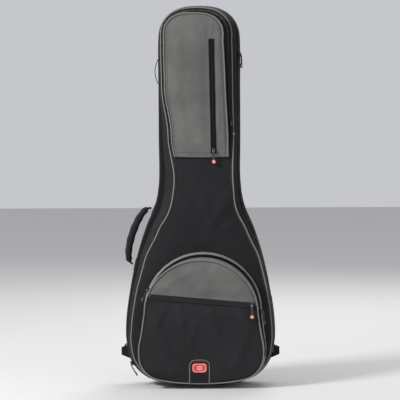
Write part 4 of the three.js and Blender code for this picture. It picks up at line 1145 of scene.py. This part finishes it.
def lower_top_panel(arch, zip_line):
    order = np.argsort(arch[:, 0])
    arch = arch[order]
    foot = arch.copy()
    foot[:, 2] = line_height(foot[:, 0]) + GAP
    t = np.linspace(0, 1, 41)[None, :, None]
    rows = lerp(foot[:, None], arch[:, None], t)
    folds = [
        ((-0.1, 0.29), (-0.03, 0.335), 10 * MM, 1.3 * MM), ((0.02, 0.29), (0.05, 0.35), 12 * MM, 1.2 * MM),
        ((0.09, 0.26), (0.12, 0.3), 9 * MM, 1.1 * MM), ((-0.02, 0.28), (0.0, 0.31), 8 * MM, -1.0 * MM),
    ]
    outer, inner = pocket_panel(rows, lower_face_y, arch, 3.0 * MM, zip_line, 10, folds)
    top = solid("cloth_lower_top_panel", shell(outer, inner), "grey_cloth", "lid", ["lower_pocket_top_panel"],
                flat_uv=True)


def lower_bottom_panel(chain, zip_line):
    """The cloth inside a chain of points that runs round the bottom, up to just below the zip."""
    chain = chain[chain[:, 2] <= line_height(chain[:, 0]) - GAP]
    ends = [[(x, LOWER_Y, line_height(x) - GAP)] for x in (chain[0, 0], chain[-1, 0])]
    chain = np.concatenate([ends[0], chain, ends[1]])
    length = run_length(chain)
    share = np.linspace(0, 1, BOTTOM_COLUMNS)[:-1]
    half = length[-1] / 2

    def sample(at):
        return np.array([np.interp(at, length, chain[:, k]) for k in range(3)]).T

    lefts, rights = sample(share * half), sample(length[-1] - share * half)
    t = np.linspace(0, 1, BOTTOM_COLUMNS)[None, :, None]
    rows = lerp(lefts[:, None], rights[:, None], t)
    folds = [
        ((-0.13, 0.2), (-0.09, 0.1), 15 * MM, 3.0 * MM), ((0.14, 0.18), (0.1, 0.07), 14 * MM, 2.8 * MM),
        ((-0.06, 0.23), (-0.05, 0.18), 9 * MM, 2.0 * MM), ((0.03, 0.22), (0.05, 0.15), 10 * MM, 2.2 * MM),
        ((-0.15, 0.06), (-0.08, 0.04), 8 * MM, 2.2 * MM), ((-0.01, 0.19), (-0.03, 0.12), 9 * MM, 1.8 * MM),
        ((0.11, 0.23), (0.13, 0.19), 8 * MM, 1.8 * MM), ((-0.1, 0.235), (-0.12, 0.19), 9 * MM, 2.0 * MM),
    ]
    outer, inner = pocket_panel(rows, lower_face_y, chain, 2.6 * MM, zip_line, 12, folds)
    from_tab = distance_to(outer.reshape(-1, 3), badge_outline(0)).reshape(outer.shape[:2])
    calm = np.clip(from_tab / (25 * MM), 0, 1)
    inside_tab = (np.abs(outer[:, :, 0] - BADGE_X) < TAB_HALF) & (outer[:, :, 2] < TAB_HIGH)
    calm = np.where(inside_tab, 0.15, 0.15 + 0.85 * calm)
    outer[:, :, 1] = lerp(LOWER_Y, outer[:, :, 1], calm)
    inner[:, :, 1] = outer[:, :, 1] + 1.5 * MM
    panel = solid("cloth_lower_bottom_panel", shell(outer, inner), "charcoal_cloth", "lid",
                  ["lower_pocket_bottom_panel"], flat_uv=True)


def lower_face_stitching(rim):
    seam = rim - outward(rim) * (POCKET_PIPING + 3.4 * MM)
    seam[:, 1] = LOWER_Y + 0.1 * MM
    out_of_tab = ~((np.abs(seam[:, 0] - BADGE_X) < TAB_HALF + 2 * MM) & (seam[:, 2] < TAB_HIGH))
    runs = np.split(np.arange(len(seam)), np.flatnonzero(np.diff(out_of_tab.astype(int))) + 1)
    open_runs = [run for run in runs if out_of_tab[run[0]] and len(run) > 2]
    lines = [stitching(seam[run], (0, -1, 0), step=3.8 * MM) for run in open_runs]
    solid("lower_face_stitching", joined(*lines), "thread_black", "lid")


# ---------------------------------------------------------------- badge
BADGE_X = -3 * MM
TAB_LOW, TAB_HIGH, TAB_HALF = 12 * MM, 84 * MM, 29 * MM
BADGE_Z = 61 * MM
TAB_SHOULDER = 24 * MM


def badge_outline(inset, steps=96):
    """An arch-topped tab that runs down to the pocket's lower edge."""
    turn = np.linspace(0, math.pi, steps // 2)
    half = TAB_HALF - inset
    shoulder = TAB_HIGH - TAB_SHOULDER
    x = np.sign(np.cos(turn)) * np.abs(np.cos(turn)) ** 0.62 * half
    z = shoulder + np.sin(turn) ** 0.62 * (TAB_SHOULDER - inset)
    low = TAB_LOW + 4 * MM
    down = np.linspace(shoulder, low, steps // 6)[1:]
    left = np.stack([np.full(len(down), -half), down], axis=1)
    across = np.stack([np.linspace(-half, half, steps // 4)[1:-1], np.full(steps // 4 - 2, low)], axis=1)
    right = np.stack([np.full(len(down), half), down[::-1]], axis=1)
    flat = np.concatenate([np.stack([x, z], axis=1), left, across, right])
    y = np.full(len(flat), LOWER_Y)
    return np.stack([flat[:, 0] + BADGE_X, y, flat[:, 1]], axis=1)


def patch(outline, centre, base_y, thickness, dome):
    """A thin patch with a softly domed face, from its outline and its middle point."""
    rings = [(1.0, 0.0), (1.0, 0.7), (0.985, 1.0)] + [(s, 1.0) for s in (0.9, 0.75, 0.55, 0.3, 0.1)]
    rows = []
    for share, height in rings:
        row = centre + (outline - centre) * share
        row[:, 1] = base_y - thickness * height - dome * (1 - share**2)
        rows.append(row)
    return capped(rows)


def rounded_rectangle(cx, cz, width, height, radius, steps=12):
    points = []
    corners = ((1, 1, 0), (-1, 1, 1), (-1, -1, 2), (1, -1, 3))
    for sx, sz, quarter in corners:
        for k in range(steps + 1):
            turn = (quarter + k / steps) * math.pi / 2
            points.append((
                cx + sx * (width / 2 - radius) + radius * math.cos(turn), 0,
                cz + sz * (height / 2 - radius) + radius * math.sin(turn),
            ))
    return np.array(points)


def badge():
    face = LOWER_Y - 0.3 * MM
    outline = badge_outline(0.8 * MM)
    shape = patch(outline, np.array([BADGE_X, face, 50 * MM]), face, 1.3 * MM, 0.5 * MM)
    tab = solid("cloth_badge_tab", shape, "black_cloth", "lid", ["badge_tab"])
    border = badge_outline(0.4 * MM)
    border[:, 1] = face - 1.3 * MM
    solid("badge_tab_binding", tube(border, 1.0 * MM, 0.8 * MM, True, 8), "piping", "lid")
    inner = badge_outline(3.6 * MM)
    inner[:, 1] = face - 1.5 * MM
    solid("badge_tab_stitching", stitching(inner, (0, -1, 0), True, 3.4 * MM), "thread_grey", "lid")
    centre = np.array([BADGE_X, 0, BADGE_Z])
    oval = rounded_rectangle(BADGE_X, BADGE_Z, 42 * MM, 27 * MM, 9 * MM)
    back = face - 1.9 * MM
    made = solid("badge_patch", patch(oval, centre, back, 1.6 * MM, 0.5 * MM), "red", "lid", ["badge"])
    ring_line = rounded_rectangle(BADGE_X, BADGE_Z, 36 * MM, 21 * MM, 6.5 * MM)
    ring_line[:, 1] = back - 1.75 * MM
    marks = [tube(ring_line, 0.55 * MM, 0.35 * MM, True, 8)]
    for z in (-3.2, 3.2):
        bar = np.linspace(-8, 8, 12)[:, None] * np.array([MM, 0, 0]) + centre + np.array([0, 0, z * MM])
        bar[:, 1] = back - 2.05 * MM
        taper = np.sin(np.linspace(0.25, math.pi - 0.25, 12)) ** 0.4
        marks.append(tube(bar, 1.1 * MM * taper, 0.35 * MM * taper, False, 8, (0, 1, 0)))
    solid("badge_marks", joined(*marks), "white", "lid")


# ---------------------------------------------------------------- sliders and pulls
HARD_EDGE = 35


def placed(shape, origin, x, y, z):
    """A shape moved from its own axes to an origin with the given axes."""
    points, faces, uv = shape
    points = np.asarray(points, float)
    return origin + points @ np.stack([x, y, z]), faces, uv


def prism(outline, low, high, bevel):
    """A flat-sided block with rounded edges, from an outline in x and y."""
    work = bmesh.new()
    face = work.faces.new([work.verts.new((x, y, low)) for x, y in outline])
    grown = bmesh.ops.extrude_face_region(work, geom=[face])
    moved = [v for v in grown["geom"] if isinstance(v, bmesh.types.BMVert)]
    bmesh.ops.translate(work, verts=moved, vec=(0, 0, high - low))
    bmesh.ops.recalc_face_normals(work, faces=work.faces)
    rims = [e for e in work.edges if abs(e.verts[0].co.z - e.verts[1].co.z) < 1e-7]
    bmesh.ops.bevel(work, geom=rims, offset=bevel, segments=2, affect="EDGES", profile=0.6)
    work.verts.index_update()
    points = np.array([tuple(v.co) for v in work.verts])
    faces = [tuple(v.index for v in f.verts) for f in work.faces]
    work.free()
    corner = np.array([k for face in faces for k in face])
    return points, faces, points[corner][:, :2]


def circle(radius, count, cx=0.0, cy=0.0):
    turn = np.arange(count) / count * 2 * math.pi
    return [(cx + radius * math.cos(t), cy + radius * math.sin(t)) for t in turn]


def slider_shape():
    side = [(3.4, 7), (4.6, 5), (4.7, 1), (3.9, -4), (3.2, -7)]
    plate = side + [(-x, y) for x, y in side[::-1]]
    outline = [(x * MM, y * MM) for x, y in plate]
    core = [(x * 0.62, y * 0.9) for x, y in outline]
    arch = [(4.6, 1.6), (4.5, 2.6), (3.4, 3.2), (0.6, 3.3), (-1.6, 3.1), (-2.8, 2.5), (-3.0, 1.6)]
    bail = spline(np.array([(0, y, z) for y, z in arch]) * MM, 4, closed=False)
    return joined(
        prism(outline, 0.7 * MM, 2.0 * MM, 0.45 * MM),
        prism(outline, -2.0 * MM, -0.9 * MM, 0.4 * MM),
        prism(core, -1.2 * MM, 1.0 * MM, 0.1 * MM),
        tube(bail, 1.1 * MM, 0.55 * MM, False, 8, (1, 0, 0)),
    )


def pull_shapes():
    """The wire ring, the rubber tab with its round rim, the red discs and their pale rings."""
    turn = np.linspace(0, 2 * math.pi, 29)[:-1]
    loop = np.stack([2.5 * np.cos(turn), -1.9 + 2.8 * np.sin(turn), 0 * turn], axis=1) * MM
    ring_part = tube(loop, 0.62 * MM, 0.62 * MM, True, 8, (0, 0, 1))
    sides = [(2.3, -3.6), (2.0, -5.4), (2.6, -8), (3.0, -14), (3.4, -21), (4.2, -26.5)]
    outline = [(x * MM, y * MM) for x, y in sides[::-1]] + [(-x * MM, y * MM) for x, y in sides]
    tab = [prism(outline[::-1], -1.25 * MM, 1.25 * MM, 0.45 * MM)]
    for y in (-10, -13, -16, -19):
        for face in (1, -1):
            bar = np.array([(-1.7, y, 1.2 * face), (0, y, 1.45 * face), (1.7, y, 1.2 * face)]) * MM
            tab.append(tube(spline(bar, 3, closed=False), 0.55 * MM, 0.4 * MM, False, 8, (0, 0, 1)))
    centre = -31.8 * MM
    tab.append(prism(circle(6.8 * MM, 40, 0, centre), -1.6 * MM, 1.6 * MM, 0.6 * MM))
    discs, dots = [], []
    for face in (1, -1):
        low, high = (1.3, 1.95) if face > 0 else (-1.95, -1.3)
        discs.append(prism(circle(5.5 * MM, 36, 0, centre), low * MM, high * MM, 0.25 * MM))
        rim = np.array([(x, y, face * 1.95 * MM) for x, y in circle(2.5 * MM, 28, 0, centre)])
        dots.append(tube(rim, 0.75 * MM, 0.3 * MM, True, 8, (0, 0, 1)))
    return ring_part, joined(*tab), joined(*discs), joined(*dots)


def node_centre(node):
    points = np.array([tuple(v.co) for v in frame["nodes"][node].data.vertices])
    return (points.min(axis=0) + points.max(axis=0)) / 2


def zips():
    slider = slider_shape()
    ring_part, tab, discs, dots = pull_shapes()
    for name in ("main_zip_a", "main_zip_b", "upper_side_zip", "upper_front_zip", "lower_left_zip",
                 "lower_right_zip", "lower_front_zip"):
        joint = JOINTS[f"{name}_pull_swing"]
        pivot, axis = np.array(joint["pos_m"], float), unit(joint["axis"])
        hang = node_centre(f"{name}_pull") - pivot
        hang = unit(hang - axis * (hang @ axis))
        normal = np.cross(axis, hang)
        up = -hang
        x = np.cross(up, normal)
        base = pivot - normal * 5.5 * MM
        made = solid(f"{name}_body", placed(slider, base, x, up, normal), "metal", f"{name}_slider",
                     [f"{name}_slider"], sharp=HARD_EDGE)
        body = f"{name}_pull"
        solid(f"{name}_ring", placed(ring_part, pivot, x, up, normal), "ring", body)
        made = solid(f"{name}_tab", placed(tab, pivot, x, up, normal), "rubber", body, [body],
                     sharp=HARD_EDGE)
        solid(f"{name}_tip", placed(discs, pivot, x, up, normal), "red", body, sharp=HARD_EDGE)
        solid(f"{name}_mark", placed(dots, pivot, x, up, normal), "white", body)


# ---------------------------------------------------------------- handles
def bezier(a, b, c, d, count):
    t = np.linspace(0, 1, count)[:, None]
    return (1 - t) ** 3 * a + 3 * (1 - t) ** 2 * t * b + 3 * (1 - t) * t**2 * c + t**3 * d


HANDLE_Y = 22 * MM
HANDLE_TOP = 505 * MM
HANDLE_LOW = 345 * MM
HANDLE_REACH = 38 * MM
GRIP_OFFSET = 9.2 * MM
BACKWARD = np.array([0, 1.0, 0])


def handle_anchor(word, at, out):
    """A patch of webbing sewn on with a crossed box of stitches."""
    along = np.cross(BACKWARD, out)
    sheet = rounded_rectangle(0, 0, 26 * MM, 36 * MM, 3 * MM)
    centre = at + out * 1.3 * MM
    outline = centre + sheet[:, :1] * BACKWARD + sheet[:, 2:] * along
    steps = ((1, -0.4), (1, 1.6), (0.96, 2.2), (0.8, 2.3), (0.5, 2.3), (0.15, 2.3))
    rows = [centre + (outline - centre) * share + out * (height * MM) for share, height in steps]
    made = solid(f"webbing_anchor_{word}", capped(rows, axes=(1, 2)), "webbing", "case",
                 [f"handle_anchor_{word}"])
    lines = []
    corners = [centre + out * 2.4 * MM + BACKWARD * x * 9 * MM + along * z * 13 * MM
               for x, z in ((-1, -1), (1, -1), (1, 1), (-1, 1))]
    for i, j in ((0, 1), (1, 2), (2, 3), (3, 0), (0, 2), (1, 3)):
        path = lerp(corners[i], corners[j], np.linspace(0, 1, 12)[:, None])
        lines.append(stitching(path, out, step=3 * MM))
    solid(f"anchor_stitching_{word}", joined(*lines), "thread_grey", "case")


def side_handle():
    loop = ring(HANDLE_Y)
    top, top_out = point_at(loop, HANDLE_TOP, -1)
    low, low_out = point_at(loop, HANDLE_LOW, -1)
    across = BACKWARD
    handle_anchor("top", top, top_out)
    handle_anchor("bottom", low, low_out)
    a, b = top + top_out * GRIP_OFFSET, low + low_out * GRIP_OFFSET
    pulled = unit(top_out + low_out) * (HANDLE_REACH - GRIP_OFFSET) / 0.75
    t = np.linspace(0, 1, 61)
    path = bezier(a, a + pulled, b + pulled, b, 61)
    along = tangents(path)
    thick = unit(np.cross(along, across))
    swell = 0.4 + 0.6 * np.maximum(np.sin(math.pi * t), 0) ** 0.5
    sleeve = smooth((t - 0.07) / 0.06) * smooth((0.93 - t) / 0.06)
    turn = np.arange(28) / 28 * 2 * math.pi
    c, s = np.cos(turn), np.sin(turn)
    wide = 12.3 * MM * swell * (0.9 + 0.1 * sleeve)
    deep = lerp(2.8 * MM, 10.6 * MM * swell, sleeve)
    rows = path[:, None] + across * (np.sign(c) * np.abs(c) ** 0.8)[None, :, None] * wide[:, None, None]
    wrinkle = 1 + 0.05 * np.sin(t * 46)[:, None] * np.abs(np.sin(turn))[None, :]
    section = (np.sign(s) * np.abs(s) ** 0.75)[None] * deep[:, None] * wrinkle
    rows = rows + thick[:, None] * section[:, :, None]
    grip = solid("cloth_handle_grip", capped(rows, axes=(1, 2)), "black_cloth", "handle_grip",
                 ["handle_grip"])
    lines = []
    sewn = slice(9, 52)
    for side in (-1, 1):
        seam = path + across * side * (wide[:, None] * 0.86) - thick * (deep[:, None] * 0.5)
        lines.append(stitching(seam[sewn], -thick[sewn] + across * side, step=4 * MM))
    solid("grip_stitching", joined(*lines), "thread_grey", "handle_grip")


def webbing_strip(path, width, thickness, across):
    """A flat woven strap with slightly rounded edges along a path."""
    path = np.asarray(path, float)
    along = tangents(path)
    side = unit(across - along * (along @ across)[:, None])
    up = np.cross(along, side)
    s = np.linspace(-1, 1, 11)
    profile = (1 - np.abs(s) ** 8 * 0.5) * thickness / 2
    width = np.broadcast_to(width, len(path))
    base = path[:, None] + side[:, None] * (s[None, :, None] * width[:, None, None] / 2)
    outer = base + up[:, None] * profile[None, :, None]
    inner = base - up[:, None] * profile[None, :, None]
    return shell(outer, inner)


NECK_LOOP_Y = 40 * MM
NECK_LOOP_Z = 903 * MM
NECK_LOOP_LENGTH = 70 * MM
NECK_TACK_SPAN = 64 * MM


def neck_loop():
    wall = ring(NECK_LOOP_Y)
    at = point_at(wall, NECK_LOOP_Z, -1)[0]
    t = np.linspace(0, 1, 33)
    x = at[0] - 6 * MM - 9 * MM * np.sin(math.pi * t)
    z = NECK_LOOP_Z + NECK_LOOP_LENGTH * (0.5 - t)
    path = np.stack([x, np.full(len(t), NECK_LOOP_Y), z], axis=1)
    made = solid("webbing_neck_loop", webbing_strip(path, 18 * MM, 2 * MM, BACKWARD), "webbing",
                 "neck_side_loop", ["neck_side_loop"])
    patches = []
    for end in (1, -1):
        foot, out = point_at(wall, NECK_LOOP_Z + end * NECK_TACK_SPAN / 2, -1)
        line = np.array([foot + out * h * MM for h in (0.2, 3.2, 5.4)])
        patches.append(webbing_strip(spline(line, 4, closed=False), 19 * MM, 7 * MM, BACKWARD))
    tacks = solid("neck_loop_tacks", joined(*patches), "webbing")
    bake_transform(tacks)


# ---------------------------------------------------------------- shoulder straps
STRAP_INNER_X = 38 * MM
STRAP_OUTER_X = 92 * MM
STRAP_TOP = 648 * MM
STRAP_END = 330 * MM
RIGHT = np.array([1.0, 0, 0])


def strap_yoke():
    outline = rounded_rectangle(0, 0, 150 * MM, 46 * MM, 10 * MM)
    centre = np.array([0, BACK_Y + 0.2 * MM, 660 * MM])
    steps = ((1, -1.0), (1, 1.8), (0.985, 2.8), (0.9, 3.0), (0.7, 3.4), (0.4, 3.5), (0.1, 3.5))
    rows = [centre + outline * share + np.array([0, height * MM, 0]) for share, height in steps]
    yoke = solid("cloth_strap_yoke", capped(rows), "black_cloth", "case", ["strap_yoke"])
    line = centre + outline * 0.94 + np.array([0, 3.2 * MM, 0])
    line[:, 2] = centre[2] + outline[:, 2] * 0.86
    solid("yoke_stitching", stitching(line, (0, 1, 0), True), "thread_grey", "case")


def strap_pad(word, side):
    """A padded strap with bound edges, two rows of stitches and a band of webbing down its middle."""
    base = BACK_Y + 8 * MM
    t = np.linspace(0, 1, 71)
    x = side * lerp(STRAP_INNER_X, STRAP_OUTER_X, t**1.4)
    z = lerp(STRAP_TOP - 14 * MM, STRAP_END, t)
    path = np.stack([x, base + 20 * MM * np.sin(math.pi * t), z], axis=1)
    along = tangents(path)
    across = unit(RIGHT - along * (along @ RIGHT)[:, None])
    up = np.cross(along, across)
    up = up * np.sign(up[:, 1:2])
    turn = np.arange(40) / 40 * 2 * math.pi
    c, s = np.cos(turn), np.sin(turn)
    width = (32 - 6 * t) * MM
    pad = smooth(t / 0.05) * smooth((1 - t) / 0.06)
    depth = lerp(2.2 * MM, 6.2 * MM, pad) * (1 + 0.03 * np.sin(t * 61))
    wide = (np.sign(c) * np.abs(c) ** 0.55)[None] * width[:, None]
    deep = (np.sign(s) * np.abs(s) ** 0.8)[None] * depth[:, None]
    rows = path[:, None] + across[:, None] * wide[:, :, None] + up[:, None] * deep[:, :, None]
    made = solid(f"cloth_strap_{word}", capped(rows), "black_cloth", "case", [f"shoulder_strap_{word}"])
    rims = [(path + across * (width[:, None] * k))[2:-2] for k in (-0.985, 0.985)]
    edge = [tube(rim, 1.5 * MM, 2.2 * MM, False, 8) for rim in rims]
    solid(f"strap_binding_{word}", joined(*edge), "webbing", "case")
    seams = [stitching((path + across * (width[:, None] * k) + up * (depth[:, None] * 0.8))[3:-3], up[3:-3])
             for k in (-0.8, 0.8)]
    centre_band = (path + up * (depth[:, None] + 0.6 * MM))[6:-3]
    solid(f"strap_stitching_{word}", joined(*seams), "thread_grey", "case")
    solid(f"strap_band_{word}", webbing_strip(centre_band, 25 * MM, 1.6 * MM, RIGHT), "webbing", "case")


def ladder_lock(word, side):
    """A plastic buckle of two side bars and four cross bars. Returns its middle and its upward direction."""
    lean = math.atan2(STRAP_OUTER_X - STRAP_INNER_X, STRAP_TOP - STRAP_END) * side
    sideways = np.array([math.cos(lean), 0, math.sin(lean)])
    upwards = np.array([-math.sin(lean), 0, math.cos(lean)])
    front = np.cross(sideways, upwards)
    at = np.array([side * (STRAP_OUTER_X + 4 * MM), BACK_Y + 8 * MM, STRAP_END - 18 * MM])

    def bar(x, y, half_x, half_y, half_z):
        corners = ((-half_x, -half_y), (half_x, -half_y), (half_x, half_y), (-half_x, half_y))
        outline = [((x + dx) * MM, (y + dy) * MM) for dx, dy in corners]
        return prism(outline, -half_z * MM, half_z * MM, 0.6 * MM)

    bars = [bar(x, 0, 2.5, 14, 2) for x in (-19.5, 19.5)]
    bars += [bar(0, y, 20, half, 1.8) for y, half in ((-12.5, 2.4), (-4.5, 1.8), (3.5, 1.8), (12.5, 2.4))]
    made = solid(f"ladder_{word}", placed(joined(*bars), at, sideways, upwards, front), "plastic", "case",
                 [f"ladder_lock_{word}"], sharp=HARD_EDGE)
    return at, upwards


def strap_webbing(word, side, at, upwards):
    """The webbing from the corner tab up through the buckle, and its loose tail."""
    start = np.array([side * (STRAP_OUTER_X + 8 * MM), BACK_Y + 4 * MM, STRAP_END - 36 * MM])
    tab_at = np.array([side * (BOUT_HALF - 18 * MM), BACK_Y + 2 * MM, 92 * MM])
    t = np.linspace(0, 1, 41)
    web = lerp(start, tab_at, (t * 0.9)[:, None])
    web[:, 1] += 6 * MM * np.sin(math.pi * t) + 0.6 * MM * np.sin(t * 9)
    lead = np.array([at + upwards * 12 * MM + np.array([0, 2.6 * MM, 0]), at + np.array([0, 3.2 * MM, 0])])
    line = spline(np.concatenate([lead, web]), 2, False)
    made = solid(f"webbing_{word}", webbing_strip(line, 30 * MM, 1.8 * MM, RIGHT), "webbing", "case",
                 [f"strap_webbing_{word}"])
    tail_start = at - upwards * 13 * MM + np.array([0, 3.2 * MM, 0])
    tail = np.array([tail_start, tail_start - upwards * 30 * MM + np.array([0, 6 * MM, 0]),
                     tail_start - upwards * 62 * MM + np.array([side * -2 * MM, 8 * MM, 0])])
    strip = webbing_strip(spline(tail, 8, False), 25 * MM, 1.6 * MM, RIGHT)
    solid(f"webbing_tail_{word}", strip, "webbing", "case")


def strap_tab(word, side):
    """The cloth tab at a lower corner that the strap's webbing is sewn into."""
    x0 = side * (BOUT_HALF - 16 * MM)
    shape = [(0, -25), (33, -11), (33, 11), (0, 25)]
    corners = np.array([(x0 + side * x * MM, 0, (88 + z) * MM) for x, z in shape])
    t = np.linspace(0, 1, 12)[:-1, None]
    outline = np.concatenate([lerp(corners[i], corners[(i + 1) % 4], t) for i in range(4)])
    if side < 0:
        outline = outline[::-1]
    centre = outline.mean(axis=0)
    rows = []
    for share, height in ((1, 0.2), (1, 2.4), (0.96, 3.4), (0.8, 3.6), (0.4, 3.7), (0.1, 3.7)):
        row = centre + (outline - centre) * share
        row[:, 1] = BACK_Y + 1.8 * MM + height * MM
        rows.append(row)
    made = solid(f"cloth_strap_tab_{word}", capped(rows), "black_cloth", "case", [f"strap_tab_{word}"])
    line = centre + (outline - centre) * 0.84
    line[:, 1] = BACK_Y + 5.45 * MM
    solid(f"tab_stitching_{word}", stitching(line, (0, 1, 0), True, 3.4 * MM), "thread_grey", "case")


def shoulder_straps():
    strap_yoke()
    for word, side in (("left", -1), ("right", 1)):
        strap_pad(word, side)
        at, upwards = ladder_lock(word, side)
        strap_webbing(word, side, at, upwards)
        strap_tab(word, side)


# ---------------------------------------------------------------- small loops on the side wall
def side_tabs():
    """Folded webbing tabs caught in the seam beside the zip: a grab at each lower corner."""
    for word, side, z in (("left", -1, 112 * MM), ("right", 1, 88 * MM)):
        at, out = point_at(ring(8 * MM), z, side)
        along = np.cross(BACKWARD, out)
        turn = np.linspace(0, math.pi, 13)[:, None]
        path = at + out * (0.4 + 8 * np.sin(turn)) * MM + along * 4 * MM * np.cos(turn)
        strip = webbing_strip(path, 24 * MM, 2.2 * MM, BACKWARD)
        solid(f"side_tab_{word}", strip, "webbing", "case")


# ---------------------------------------------------------------- stage
def stage():
    floor = bpy.data.meshes.new("floor")
    floor.from_pydata([(-9, -9, 0), (9, -9, 0), (9, 9, 0), (-9, 9, 0)], [], [(0, 1, 2, 3)])
    made = bpy.data.objects.new("floor", floor)
    bpy.context.scene.collection.objects.link(made)
    floor.materials.append(shader("floor_paint", 0.85, Base_Color=(0.62, 0.61, 0.6, 1))[0])
    world = bpy.data.worlds.new("studio")
    bpy.context.scene.world = world
    world.use_nodes = True
    back = world.node_tree.nodes["Background"]
    back.inputs["Color"].default_value = (0.93, 0.95, 1.0, 1)
    back.inputs["Strength"].default_value = 0.6
    for name, spot, target, size, power in (
        ("key", (-2.6, -1.9, 2.6), (0, 0, 0.6), 0.9, 150), ("fill", (2.6, -2.2, 1.4), (0, 0, 0.5), 2.4, 12),
        ("rim", (0.8, 2.4, 2.4), (0, 0, 0.7), 1.6, 45),
    ):
        lamp = bpy.data.lights.new(name, "AREA")
        lamp.size = size
        lamp.energy = power
        lit = bpy.data.objects.new(name, lamp)
        bpy.context.scene.collection.objects.link(lit)
        lit.location = spot
        lit.rotation_euler = (Vector(target) - Vector(spot)).to_track_quat("-Z", "Y").to_euler()
    bpy.context.scene.view_settings.view_transform = "Standard"


def camera():
    lens = bpy.data.cameras.new("camera")
    lens.sensor_width = 36
    made = bpy.data.objects.new("camera", lens)
    bpy.context.scene.collection.objects.link(made)
    target = Vector((0.0005, -0.03, 0.534))
    made.location = (0.0005, -6, 0.85)
    reach = (target - made.location).length
    lens.lens = 36 * reach / 1.148
    turn = (target - made.location).to_track_quat("-Z", "Y").to_matrix()
    roll = Matrix.Rotation(math.radians(-0.25), 3, "Z")
    made.rotation_euler = (turn @ roll).to_euler()
    bpy.context.scene.camera = made


camera()
stage()
front_panel()
back_panel()
gussets()
main_zip()
pipings()
neck_cradle()
end_pad()
neck_straps()
fold_strip()
upper_wall()
upper_side_zip()
upper_panel()
upper_front_zip()
lower_walls()
lower_face()
badge()
zips()
side_handle()
neck_loop()
shoulder_straps()
side_tabs()

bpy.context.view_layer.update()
